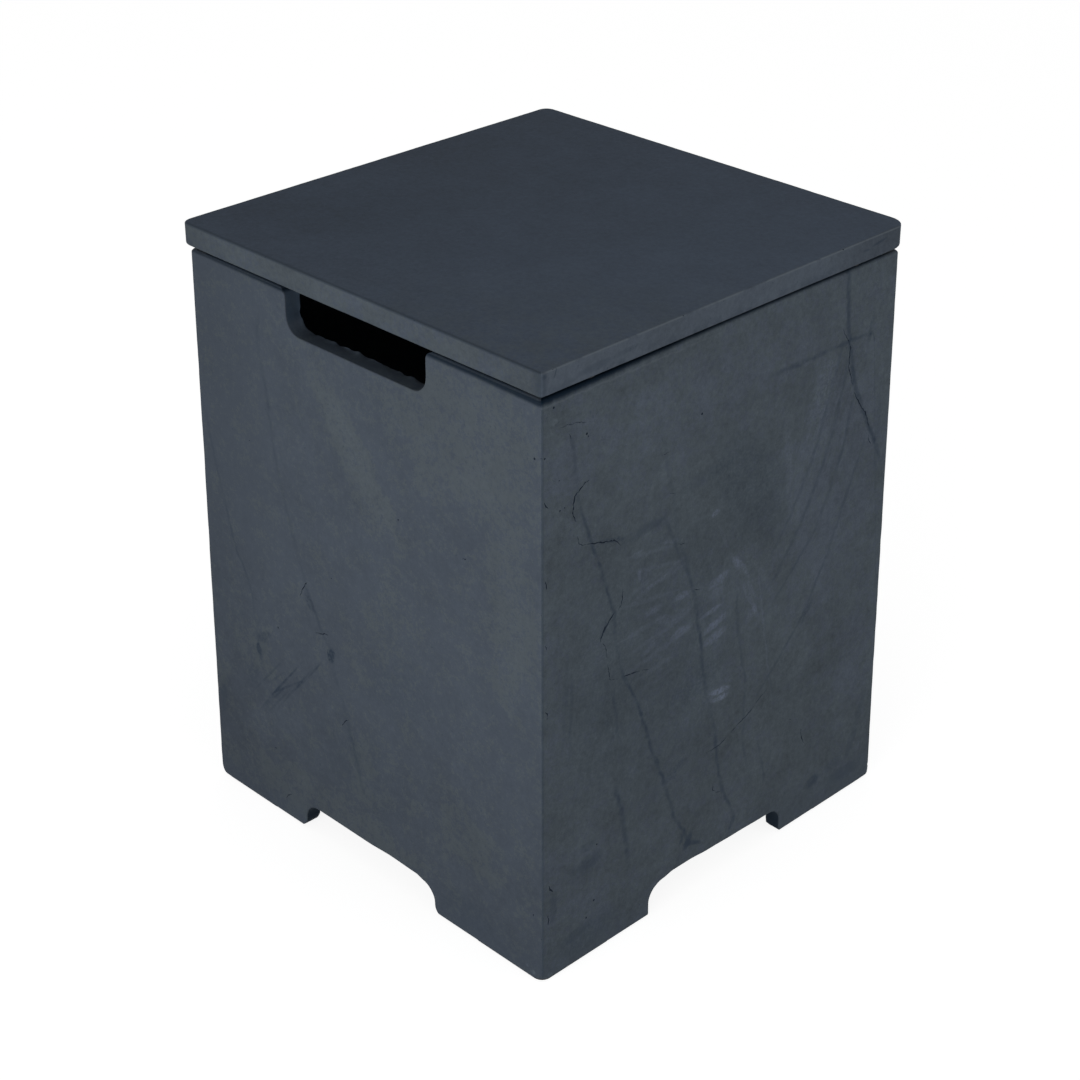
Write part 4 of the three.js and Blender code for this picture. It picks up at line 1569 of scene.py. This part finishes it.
def wall_marks(graph, where):
    """The veins, patches, pale strokes and streaks of the walls."""
    place, across, height, second = main_values(where)
    wobble = graph.wander(place, WOBBLE_SIZE, WOBBLE)
    marked_across = graph.plus(across, wobble)
    marked_height = graph.minus(height, wobble)
    marked = (marked_across, marked_height)
    breakup = graph.ease(graph.cloud(place, 12.0, 3.0, 0.65), 0.3, 0.62, 0.4, 1.3)
    grit = graph.ease(graph.cloud(place, 2.6, 3.0, 0.7), 0.4, 0.6, 0.45, 1.45)
    first_veins = graph.total((
        (sum_of_patches(graph, scratch_patches(), across, height), SCRATCH_STRENGTH),
        (sum_of_veins(graph, FIRST_VEINS, height, marked_across), 1.0),
        (sum_of_patches(graph, FIRST_SMEARS, *marked), 1.0),
    ))
    second_veins = graph.total((
        (sum_of_veins(graph, SECOND_VEINS + SECOND_ARCS, height, marked_across), 1.0),
        (sum_of_veins(graph, SECOND_CROSS_VEINS, across, marked_height), 1.0),
        (sum_of_patches(graph, SECOND_SMEARS, *marked), 1.0),
    ))
    first_patches = sum_of_patches(graph, FIRST_PATCHES, *marked)
    second_patches = sum_of_patches(graph, SECOND_PATCHES, *marked)
    veins = graph.times(graph.pick(second, first_veins, second_veins), breakup)
    patches = graph.times(graph.pick(second, first_patches, second_patches), grit)
    strokes = graph.times(sum_of_patches(graph, SECOND_STROKES, *marked), second, grit)
    streaks = graph.pick(
        second, sum_of_brushed(graph, FIRST_BRUSHED, across, height),
        sum_of_brushed(graph, SECOND_BRUSHED, across, height))
    return veins, patches, strokes, streaks


# Finishes

# What a finish gives its shader
Surface = namedtuple(
    "Surface", "colour roughness relief bump_strength bump_depth specular metallic", defaults=(0.5, 0.0))

BUMP_DEPTH = 0.5 * MM
STREAK_TONE = 0.05
STROKE_TONE = 0.27
SPECK_SHARE = 0.35
DARK_PATCH_SHARE = 1.7
HUE_LEAN = 0.16
HUE_SWITCH = (0.46, 0.54)
FIRST_BLUE, SECOND_BLUE = 0.95, -0.65
# How much darker the walls grow towards the ground as painted shade, in the first and second pair
FOOT_SHADES = (0.17, 0.1)
FOOT_RISE, DARKENING_RISE = 190.0, 36.0
EDGE_LINE_SHARE = 0.45
# How far the walls lean in over the shell's height, in millimetres
LEAN_SHARE = 4 / 497
# Shares of painted shade on the cut faces: on the sill, on the jambs, and low in the arches
SILL_SHADE, JAMB_SHADE = 0.25, 0.64
LOW_CUT_SHADE = 0.8
RIM_LINE_GAP = 6.2
RIM_LINE_SHARE = 0.22
# Spans in millimetres over which the finish of the cut faces, the jambs' shade and the arches' shade set in
CUT_DEPTHS = (0.9, 2.2)
CUT_FROM_CORNER = (14.0, 20.0)
SILL_HEIGHTS = (469.0, 474.0)
ARCH_HEIGHTS = (60.0, 40.0)


def wall_mottle(graph, where):
    """The mottle of the walls, smoother at the upper far end of the first pair."""
    place, across, height, second = main_values(where)
    smooth_far = graph.times(graph.ease(across, -60.0, -150.0), graph.ease(height, 200.0, 300.0))
    return graph.group("Cloud Mottle", {
        "Place": place, "Broad Share": graph.pick(second, graph.sloped(smooth_far, -0.4, 0.75), 1.25),
        "Fine Share": graph.pick(second, graph.sloped(smooth_far, -0.1, 0.21), 0.45),
    })


def wall_warmth(graph, where, hue, streaks):
    """The share of the warmer colour on the walls."""
    wander = graph.wander(where["Place"], 40.0, 45.0, 4.0, 0.7)
    zones = (graph.plus(where["Across"], wander), graph.minus(where["Height"], wander))
    first_lean = graph.minus(FIRST_BLUE, sum_of_patches(graph, FIRST_WARMTH, *zones))
    second_lean = graph.minus(SECOND_BLUE, sum_of_patches(graph, SECOND_WARMTH, *zones))
    blue_lean = graph.plus(graph.pick(where["Second Pair"], first_lean, second_lean), streaks)
    return graph.ease(graph.sloped(blue_lean, -HUE_LEAN, hue), *HUE_SWITCH)


def cut_layers(graph, look, where):
    """The layers of the cut faces in the slots and arches: painted shade of the recesses, less on the sill,
    and darker low in the arches.
    """
    height = where["Height"]
    true_half = graph.sloped(height, -LEAN_SHARE, FOOT_HALF / MM)
    cut_depth = graph.minus(true_half, where["Reach"])
    cut = graph.times(
        graph.ease(cut_depth, *CUT_DEPTHS), graph.ease(where["Upright Edge"], *CUT_FROM_CORNER))
    cut_shade = graph.ease(height, *SILL_HEIGHTS, SILL_SHADE, JAMB_SHADE)
    low_shade = graph.ease(height, *ARCH_HEIGHTS, 0.0, LOW_CUT_SHADE)
    return (graph.times(cut, cut_shade), look.cut), (graph.times(cut, low_shade), look.shade)


def rim_layers(graph, look, where):
    """The layers of the rim: a thin rubbed line, and painted shade under the lid."""
    place, across, height, second = main_values(where)
    rim_gap = graph.minus(RIM_Z / MM, height)
    wander = graph.wander(place, 9.0, 2.5, 4.0, 0.7)
    near_end = graph.times(second, graph.ease(across, 60.0, -120.0))
    line_gap = graph.math("ABSOLUTE", graph.minus(graph.plus(rim_gap, wander), RIM_LINE_GAP))
    rim_line = graph.times(graph.ease(line_gap, 1.3, 0.3), near_end, RIM_LINE_SHARE)
    # Painted shade: a dark band down from the rim, where the lid shades the shell
    soft_gap = graph.plus(rim_gap, graph.times(wander, graph.pick(second, 0.16, 0.5)))
    first_reach = graph.total((
        (graph.ease(across, -190.0, 0.0), 2.0), (graph.ease(across, 120.0, 190.0), 1.2), (1.0, 1.4)))
    second_reach = graph.ease(across, 40.0, -230.0, -0.6, 4.2)
    past_reach = graph.minus(soft_gap, graph.pick(second, first_reach, second_reach))
    painted_shade = graph.ease(past_reach, graph.pick(second, 2.0, 2.6), graph.pick(second, -1.5, -2.0))
    first_share = graph.ease(rim_gap, 0.0, 1.6, 0.0, 0.86)
    second_share = graph.ease(across, 100.0, -150.0, 0.84, 0.97)
    painted_shade_share = graph.times(painted_shade, graph.pick(second, first_share, second_share))
    return (rim_line, look.worn), (painted_shade_share, look.shade)


def wall_surface(graph, look):
    """Finished concrete of the shell, with its veins, patches, strokes and brushed zones."""
    where = graph.group("Table Place")
    place, across, height, second = main_values(where)
    veins, patches, strokes, streaks = wall_marks(graph, where)
    mottle = wall_mottle(graph, where)
    grain = graph.group("Fine Grain", {"Place": place, "Grain Size": 1.3})
    # Painted shade: the walls grow darker towards the ground
    foot = graph.group("Damp Foot", {"Place": place, "Height": height, "Rise": FOOT_RISE})["Mask"]
    far_shade = graph.times(graph.ease(across, -70.0, -190.0), graph.pick(second, 0.1, 0.0))
    warm = wall_warmth(graph, where, mottle["Hue"], streaks)
    tone = graph.total((
        (1.0, 1.0),
        (graph.times(mottle["Tone"], graph.pick(second, 0.84, 1.0)), look.mottle_strength),
        (graph.math("MINIMUM", patches, 0.0), -look.patch_strength),
        (streaks, STREAK_TONE),
        (graph.times(foot, graph.pick(second, *FOOT_SHADES)), -1.0),
        (far_shade, -1.0),
        (strokes, STROKE_TONE),
        (graph.times(graph.minus(warm, 0.5), graph.pick(second, 0.1, -0.08)), 1.0),
    ))
    colour = graph.mix(warm, look.slate, graph.mix(second, look.first_olive, look.olive))
    colour = graph.mix(graph.math("MULTIPLY", strokes, 0.5, clamp=True), colour, look.stroke)
    colour = graph.scaled(colour, tone)

    dark_patches = graph.math("MAXIMUM", patches, 0.0)
    dark_share = graph.math("MULTIPLY", dark_patches, DARK_PATCH_SHARE * look.patch_strength, clamp=True)
    # The walls darker and bluer near the ground, up to an uneven height
    foot_darkening = graph.group("Damp Foot", {"Place": place, "Height": height, "Rise": DARKENING_RISE})["Mask"]
    vein_share = graph.math("MULTIPLY", veins, look.vein_strength, clamp=True)
    edge_line = rubbed(graph, place, where["Upright Edge"], 3.4, 0.85, 9.0)
    colour = graph.layered(colour, (
        (dark_share, look.vein),
        (graph.times(foot_darkening, 0.3), look.foot_darkening),
        (graph.times(grain["Specks"], SPECK_SHARE), look.vein),
        (vein_share, look.vein),
        (graph.times(edge_line, second, EDGE_LINE_SHARE), look.vein),
        *cut_layers(graph, look, where),
        *rim_layers(graph, look, where),
    ))
    roughness = graph.total((
        (look.concrete_roughness, 1.0), (mottle["Tone"], 0.05), (vein_share, -0.08), (foot_darkening, -0.06),
    ))
    relief = graph.total(((grain["Height"], 0.18), (mottle["Tone"], 0.12), (streaks, 0.06)))
    return Surface(colour, roughness, relief, 0.6, BUMP_DEPTH, look.concrete_specular)


# Soft marks on the lid's top, across (x) and back (y)
LID_SMUDGES = rows_of(
    Patch,
    (118, 12, 30, 12, 20, -0.4), (88, -58, 24, 10, 60, -0.35), (-60, 95, 60, 30, 130, 0.25),
    (-130, -105, 100, 60, 45, 0.5), (40, -130, 60, 24, 30, -0.25),
)
# Dark marks on the lid's right and back sides
LID_SIDE_SMEARS = rows_of(
    Patch,
    (166, 515.5, 9, 1.1, 8, 1.3), (150, 513, 5, 0.9, -5, 0.9), (-150, 510.5, 17, 3.5, 2, 0.6),
    (-118, 513, 14, 2.2, 5, 0.45), (-199.5, 518.5, 2.4, 2, 0, 1.0), (-189, 518.5, 4, 0.6, 70, 1.2),
)
SIDE_HUE_SWITCH = (0.38, 0.5)
# Painted light: the lid's top grows brighter towards the near corner at the front right, by these slopes per
# millimetre across (x) and back (y)
LID_TOP_LIGHT_SLOPES = (0.0007, -0.00017)


def lid_surface(graph, look):
    """Finished concrete of the lid: plainer, with rubbed edges, a top made bluer and brighter towards the
    near corner as painted light, and painted shade along the sides' lower edge.
    """
    where = graph.group("Table Place")
    place, across, height, second = main_values(where)
    x, y = graph.place("ShaderNodeSeparateXYZ", {0: place}).outputs[:2]
    mottle = graph.group("Cloud Mottle", {"Place": place, "Broad Share": 0.85, "Fine Share": 0.33})
    grain = graph.group("Fine Grain", {"Place": place, "Grain Size": 1.2})
    side_gap = graph.minus(LID_HALF / MM, where["Reach"])
    top_gap = graph.minus(LID_HIGH.z / MM, height)
    edge_gap = graph.math("MAXIMUM", top_gap, side_gap)
    on_top = graph.ease(side_gap, 0.6, 2.5)
    on_side = graph.minus(1.0, on_top)

    top_tone = graph.total((
        (sum_of_patches(graph, LID_SMUDGES, x, y), -0.7 * look.patch_strength),
        (x, LID_TOP_LIGHT_SLOPES[0]), (y, LID_TOP_LIGHT_SLOPES[1])))
    both_ends = graph.ease(graph.math("ABSOLUTE", across), 110.0, 200.0)
    second_tone = graph.sloped(
        graph.ease(across, -100.0, -180.0), 0.1, graph.ease(across, 60.0, 200.0, 0.06, -0.2))
    side_tone = graph.pick(second, graph.sloped(both_ends, -0.17, 0.05), second_tone)
    tone = graph.total((
        (1.0, 1.0), (mottle["Tone"], look.mottle_strength), (graph.pick(on_top, side_tone, top_tone), 1.0)))
    side_warm = graph.times(graph.ease(mottle["Hue"], *SIDE_HUE_SWITCH), graph.pick(second, 1.0, 0.25))
    side_colour = graph.mix(side_warm, look.slate, graph.mix(second, look.first_olive, look.olive))
    toward_camera = graph.minus(x, y)
    nearness = graph.ease(toward_camera, 100.0, 380.0, 0.0, 0.6)
    top_warm = graph.times(graph.ease(mottle["Hue"], *HUE_SWITCH), nearness)
    # Painted light: the top takes a bluer colour than the sides
    top_colour = graph.mix(top_warm, look.lid_slate_lit_from_above, look.olive)
    colour = graph.scaled(graph.mix(on_top, side_colour, top_colour), tone)

    speckled = graph.sloped(graph.times(on_side, second), 1.2, 0.5)
    rub = rubbed(graph, place, edge_gap, 1.6, 0.72, 22.0)
    soft_edge = graph.sloped(rub, 0.2, graph.ease(edge_gap, 1.7, 0.9, 0.0, 0.3))
    top_edge = graph.times(graph.ease(side_gap, 4.5, 1.2, 0.0, 0.6), graph.ease(top_gap, 1.3, 0.5))
    first_edge = graph.pick(second, graph.math("MAXIMUM", soft_edge, top_edge), 0.0)
    near_corner = graph.times(on_side, graph.ease(toward_camera, 398.0, 403.0, 0.0, 0.45))
    dark_edge = graph.math("MAXIMUM", near_corner, first_edge)
    # Painted shade: a dark band up from the lid's lower edge, over the dark gap above the shell
    low_edge_shade = rubbed(graph, place, graph.minus(height, LID_LOW.z / MM), 9.0, 0.55, 15.0)
    side_marks = sum_of_patches(graph, LID_SIDE_SMEARS, across, height)
    colour = graph.layered(colour, (
        (graph.times(grain["Specks"], speckled, SPECK_SHARE), look.vein),
        (graph.times(rub, graph.pick(second, 0.05, 0.55)), look.worn),
        (dark_edge, look.vein),
        (graph.times(low_edge_shade, on_side, graph.pick(second, 0.15, 0.3)), look.vein),
        (graph.times(side_marks, on_side, second, look.vein_strength), look.vein),
    ))
    roughness = graph.total(((look.concrete_roughness, 1.0), (mottle["Tone"], 0.05), (rub, -0.05)))
    relief = graph.total(((grain["Height"], 0.14), (mottle["Tone"], 0.10)))
    return Surface(colour, roughness, relief, 0.6, BUMP_DEPTH, look.concrete_specular)


def mottle_and_grain(graph, fine_share, grain_size):
    """The mottle's tone, and the grain's outputs."""
    place = graph.group("Table Place")["Place"]
    tone = graph.group("Cloud Mottle", {"Place": place, "Fine Share": fine_share})["Tone"]
    return tone, graph.group("Fine Grain", {"Place": place, "Grain Size": grain_size})


def raw_and_shade_surface(graph, look):
    """Unfinished concrete inside the shell and under the lid, with sand and small holes. Its dark colour is
    partly painted shade of the hollow inside.
    """
    tone, grain = mottle_and_grain(graph, 0.3, 2.2)
    colour = graph.scaled(look.raw, graph.sloped(tone, 1.3 * look.mottle_strength, 1.0))
    colour = graph.mix(graph.times(grain["Specks"], 0.5), colour, look.crack)
    relief = graph.total(((grain["Height"], 0.5), (grain["Specks"], -0.6), (tone, 0.3)))
    roughness = graph.sloped(tone, 0.05, 0.9)
    return Surface(colour, roughness, relief, 0.8, BUMP_DEPTH, look.concrete_specular)


def crack_surface(graph, look):
    """The dark inside of cracks, pits and chips."""
    place = graph.group("Table Place")["Place"]
    grain = graph.group("Fine Grain", {"Place": place, "Grain Size": 0.7})["Height"]
    colour = graph.mix(grain, look.crack, look.vein)
    roughness = graph.sloped(grain, 0.1, 0.85)
    return Surface(colour, roughness, grain, 0.6, 0.3 * BUMP_DEPTH, look.concrete_specular)


def rubber_surface(graph, look):
    """Black rubber with dust."""
    tone, grain = mottle_and_grain(graph, 0.6, 0.6)
    dust = graph.times(graph.ease(tone, 0.1, 0.9), 0.12)
    colour = graph.mix(dust, graph.scaled(look.rubber, graph.sloped(tone, 0.25, 1.0)), look.worn)
    return Surface(colour, graph.sloped(tone, 0.08, 0.72), grain["Height"], 0.5, 0.1 * MM, 0.3)


def moulding_surface(graph, look):
    """Black moulded plastic with a fine spark texture."""
    tone, grain = mottle_and_grain(graph, 0.3, 0.5)
    colour = graph.scaled(look.moulding, graph.sloped(tone, 0.15, 1.0))
    return Surface(colour, graph.sloped(grain["Height"], 0.12, 0.5), grain["Height"], 0.4, 0.08 * MM)


def metal_surface(graph, colour, roughness, stain):
    """Metal with fine turning marks and dull spots."""
    tone, grain = mottle_and_grain(graph, 0.5, 0.4)
    dull = graph.ease(tone, 0.0, 0.9)
    colour = graph.mix(graph.times(dull, 0.5), colour, stain)
    roughness = graph.sloped(dull, 0.2, roughness)
    return Surface(colour, roughness, grain["Height"], 0.3, 0.05 * MM, metallic=1.0)


STEEL_STAIN = (0.25, 0.25, 0.26)
BRASS_STAIN = (0.22, 0.15, 0.06)

SURFACE_MAKERS = {
    "cast_concrete_walls": wall_surface,
    "cast_concrete_lid": lid_surface,
    "raw_concrete_and_shade": raw_and_shade_surface,
    "open_crack": crack_surface,
    "black_rubber": rubber_surface,
    "black_moulding": moulding_surface,
    "screw_steel": lambda graph, look: metal_surface(graph, look.steel, 0.35, STEEL_STAIN),
    "insert_brass": lambda graph, look: metal_surface(graph, look.brass, 0.3, BRASS_STAIN),
}


def start_material(name):
    """A new material's graph and its shader."""
    material = bpy.data.materials.new(name)
    material.use_nodes = True
    graph = Graph(material.node_tree)
    output = graph.place("ShaderNodeOutputMaterial")
    shader = graph.place("ShaderNodeBsdfPrincipled")
    graph.feed(output.inputs["Surface"], shader.outputs[0])
    return material, graph, shader


def finish(name):
    """The material of a name, made at its first use."""
    if name in bpy.data.materials:
        return bpy.data.materials[name]
    material, graph, shader = start_material(name)
    surface = SURFACE_MAKERS[name](graph, bpy.context.scene.tank_table_finishes)
    bump = graph.place("ShaderNodeBump", {
        "Strength": surface.bump_strength, "Distance": surface.bump_depth, "Height": surface.relief})
    inputs = {
        "Base Color": surface.colour, "Roughness": surface.roughness, "Normal": bump.outputs[0],
        "Specular IOR Level": surface.specular, "Metallic": surface.metallic,
    }
    for socket, value in inputs.items():
        graph.feed(shader.inputs[socket], value)
    return material


# Stage

FLOOR_HALF = 6.0
FLOOR_RINGS = 24
LAMP_DISTANCE = 2.4
LAMP_WIDTH = 2.2
LAMP_HEIGHT = 1.1


def build_floor(setup):
    """A wide pale floor that shows white and keeps the table's shadow."""
    places = []
    for ring in range(1, FLOOR_RINGS + 1):
        radius = FLOOR_HALF * (ring / FLOOR_RINGS) ** 2
        for step in range(TURN_STEPS):
            angle = FULL_TURN * step / TURN_STEPS
            places.append((radius * math.cos(angle), radius * math.sin(angle), 0.0))
    faces = grid_quads(FLOOR_RINGS, TURN_STEPS)
    faces.append(tuple(range(TURN_STEPS)))
    material, graph, shader = start_material("pale_floor")
    grey = (setup.floor_tone,) * 3
    shader.inputs["Base Color"].default_value = (*grey, 1.0)
    shader.inputs["Roughness"].default_value = 0.9
    shader.inputs["Specular IOR Level"].default_value = 0.0
    shader.inputs["Emission Color"].default_value = (1.0, 1.0, 1.0, 1.0)
    graph.feed(shader.inputs["Emission Strength"], graph.times(seen_share(graph), setup.floor_glow))
    floor = make_object("pale_floor", places, faces, [material])


def seen_share(graph):
    """1 for rays that show a surface to the camera, straight or by a reflection, and 0 for the rest."""
    path = graph.place("ShaderNodeLightPath").outputs
    seen = graph.math("MAXIMUM", path["Is Camera Ray"], path["Is Glossy Ray"])
    return graph.math("MAXIMUM", seen, path["Is Transmission Ray"])


def build_world(setup):
    """A world that shows white and lights the table softly from all round."""
    world = bpy.data.worlds.new("white_room")
    bpy.context.scene.world = world
    world.use_nodes = True
    graph = Graph(world.node_tree)
    output = graph.place("ShaderNodeOutputWorld")
    strength = graph.sloped(seen_share(graph), 1 - setup.ambient, setup.ambient)
    background = graph.place("ShaderNodeBackground", {"Color": (1.0, 1.0, 1.0), "Strength": strength})
    graph.feed(output.inputs["Surface"], background.outputs[0])


def add_softbox(name, azimuth, power):
    """A large upright lamp that stands on the floor and faces the table."""
    lamp = bpy.data.lights.new(name, "AREA")
    lamp.shape = "RECTANGLE"
    lamp.size = LAMP_WIDTH
    lamp.size_y = LAMP_HEIGHT
    lamp.energy = power
    thing = add_object(name, lamp)
    direction = Vector((math.sin(azimuth), -math.cos(azimuth), 0))
    thing.location = direction * LAMP_DISTANCE + Vector((0, 0, LAMP_HEIGHT / 2))
    thing.rotation_euler = direction.to_track_quat("Z", "Y").to_euler()


def place_camera(setup):
    """The camera of the photograph's view."""
    azimuth, elevation = setup.azimuth, setup.elevation
    back = Vector((
        math.sin(azimuth) * math.cos(elevation), -math.cos(azimuth) * math.cos(elevation),
        math.sin(elevation)))
    right = Vector((math.cos(azimuth), math.sin(azimuth), 0))
    up = back.cross(right)
    turned_right = right * math.cos(setup.roll) + up * math.sin(setup.roll)
    turned_up = up * math.cos(setup.roll) - right * math.sin(setup.roll)
    location = back * setup.distance + right * setup.aside + Vector((0, 0, setup.aim_height))
    camera = bpy.data.cameras.new("photograph_view")
    camera.lens = setup.lens
    camera.shift_y = setup.shift
    thing = add_object("photograph_view", camera)
    matrix = Matrix((turned_right, turned_up, back)).transposed().to_4x4()
    matrix.translation = location
    thing.matrix_world = matrix
    bpy.context.scene.camera = thing


# Operators

def join_to_table(piece, body, slot, *nodes):
    """Lets a piece ride on a body and stand for its CAD nodes."""
    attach(piece, body)
    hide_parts(*nodes)


def join_at_corners(builder, finish_name, body, slot, stem):
    """Builds a small piece for each corner and joins it to the table."""
    for corner in CORNERS:
        piece = builder(corner, bpy.context.scene.tank_table_fittings, finish(finish_name))
        join_to_table(piece, body, slot, f"{stem}_{corner}")


def concrete_slots(face_finish):
    """The materials of a cast piece: its finished face, its raw faces and its cracks."""
    return [finish(face_finish), finish("raw_concrete_and_shade"), finish("open_crack")]


class TANKTABLE_OT_shell(bpy.types.Operator):
    """Build the cast shell with its slots, arches and marks"""

    bl_idname = "tank_table.shell"
    bl_label = "Cast shell"

    def execute(self, context):
        shell = build_shell(context.scene.tank_table_shell, concrete_slots("cast_concrete_walls"))
        join_to_table(shell, "base", "concrete", "shell")
        return {"FINISHED"}


class TANKTABLE_OT_lid(bpy.types.Operator):
    """Build the slab lid"""

    bl_idname = "tank_table.lid"
    bl_label = "Slab lid"

    def execute(self, context):
        lid = build_lid(context.scene.tank_table_lid, concrete_slots("cast_concrete_lid"))
        join_to_table(lid, "lid", "concrete", "lid")
        return {"FINISHED"}


class TANKTABLE_OT_cleats(bpy.types.Operator):
    """Build the four cleats under the lid"""

    bl_idname = "tank_table.cleats"
    bl_label = "Corner cleats"

    def execute(self, context):
        join_at_corners(build_cleat, "black_moulding", "lid", "moulding", "lid_cleat")
        return {"FINISHED"}


class TANKTABLE_OT_screws(bpy.types.Operator):
    """Build the eight screws of the cleats"""

    bl_idname = "tank_table.screws"
    bl_label = "Cleat screws"

    def execute(self, context):
        screws = build_screws(context.scene.tank_table_fittings, finish("screw_steel"))
        for name, screw in screws.items():
            join_to_table(screw, "lid", "screw", name)
        return {"FINISHED"}


class TANKTABLE_OT_inserts(bpy.types.Operator):
    """Give the screw inserts their brass finish"""

    bl_idname = "tank_table.inserts"
    bl_label = "Brass inserts"

    def execute(self, context):
        for name in screw_names("cleat_insert"):
            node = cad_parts[name]
            node.data.materials.clear()
            node.data.materials.append(finish("insert_brass"))
        return {"FINISHED"}


class TANKTABLE_OT_bumpers(bpy.types.Operator):
    """Build the four round rubber bumpers under the lid"""

    bl_idname = "tank_table.bumpers"
    bl_label = "Rubber bumpers"

    def execute(self, context):
        join_at_corners(build_bumper, "black_rubber", "lid", "rubber", "lid_bumper")
        return {"FINISHED"}


class TANKTABLE_OT_foot_pads(bpy.types.Operator):
    """Build the four rubber pads under the shell"""

    bl_idname = "tank_table.foot_pads"
    bl_label = "Foot pads"

    def execute(self, context):
        join_at_corners(build_foot_pad, "black_rubber", "base", "rubber", "foot_pad")
        return {"FINISHED"}


class TANKTABLE_OT_stage(bpy.types.Operator):
    """Place the camera, the lamps, the white world and the floor"""

    bl_idname = "tank_table.stage"
    bl_label = "Stage"

    def execute(self, context):
        setup = context.scene.tank_table_stage
        place_camera(setup)
        add_softbox("key_softbox", setup.key_azimuth, setup.key_power)
        add_softbox("fill_softbox", setup.fill_azimuth, setup.fill_power)
        build_world(setup)
        build_floor(setup)
        context.scene.view_settings.view_transform = "Standard"
        return {"FINISHED"}


class TANKTABLE_PT_sidebar(bpy.types.Panel):
    """The table's settings and pieces"""

    bl_label = "Tank cover table"
    bl_space_type = "VIEW_3D"
    bl_region_type = "UI"
    bl_category = "Tank Table"

    def draw(self, context):
        for title, name, operators in SECTIONS:
            box = self.layout.box()
            box.label(text=title)
            settings = getattr(context.scene, name)
            for key in settings.bl_rna.properties.keys():
                if key not in ("rna_type", "name"):
                    box.prop(settings, key)
            for operator in operators:
                box.operator(operator.bl_idname)


# Title, settings and operators of each section, in the order in which the pieces are built
SECTIONS = (
    ("Finishes", "tank_table_finishes", ()),
    ("Shell", "tank_table_shell", (TANKTABLE_OT_shell,)),
    ("Lid", "tank_table_lid", (TANKTABLE_OT_lid,)),
    ("Fittings", "tank_table_fittings", (
        TANKTABLE_OT_cleats, TANKTABLE_OT_screws, TANKTABLE_OT_inserts, TANKTABLE_OT_bumpers,
        TANKTABLE_OT_foot_pads,
    )),
    ("Stage", "tank_table_stage", (TANKTABLE_OT_stage,)),
)
SETTINGS = {
    "tank_table_finishes": Finishes,
    "tank_table_shell": ShellForm,
    "tank_table_lid": LidForm,
    "tank_table_fittings": FittingForm,
    "tank_table_stage": StageSetup,
}
OPERATORS = [operator for title, name, operators in SECTIONS for operator in operators]
CLASSES = [*SETTINGS.values(), *OPERATORS, TANKTABLE_PT_sidebar]


def register():
    for each in CLASSES:
        bpy.utils.register_class(each)
    for name, kind in SETTINGS.items():
        setattr(bpy.types.Scene, name, bpy.props.PointerProperty(type=kind))


def unregister():
    for name in SETTINGS:
        delattr(bpy.types.Scene, name)
    for each in reversed(CLASSES):
        bpy.utils.unregister_class(each)


def main():
    register()
    for operator in OPERATORS:
        group, name = operator.bl_idname.split(".")
        getattr(getattr(bpy.ops, group), name)()


if __name__ == "__main__":
    main()
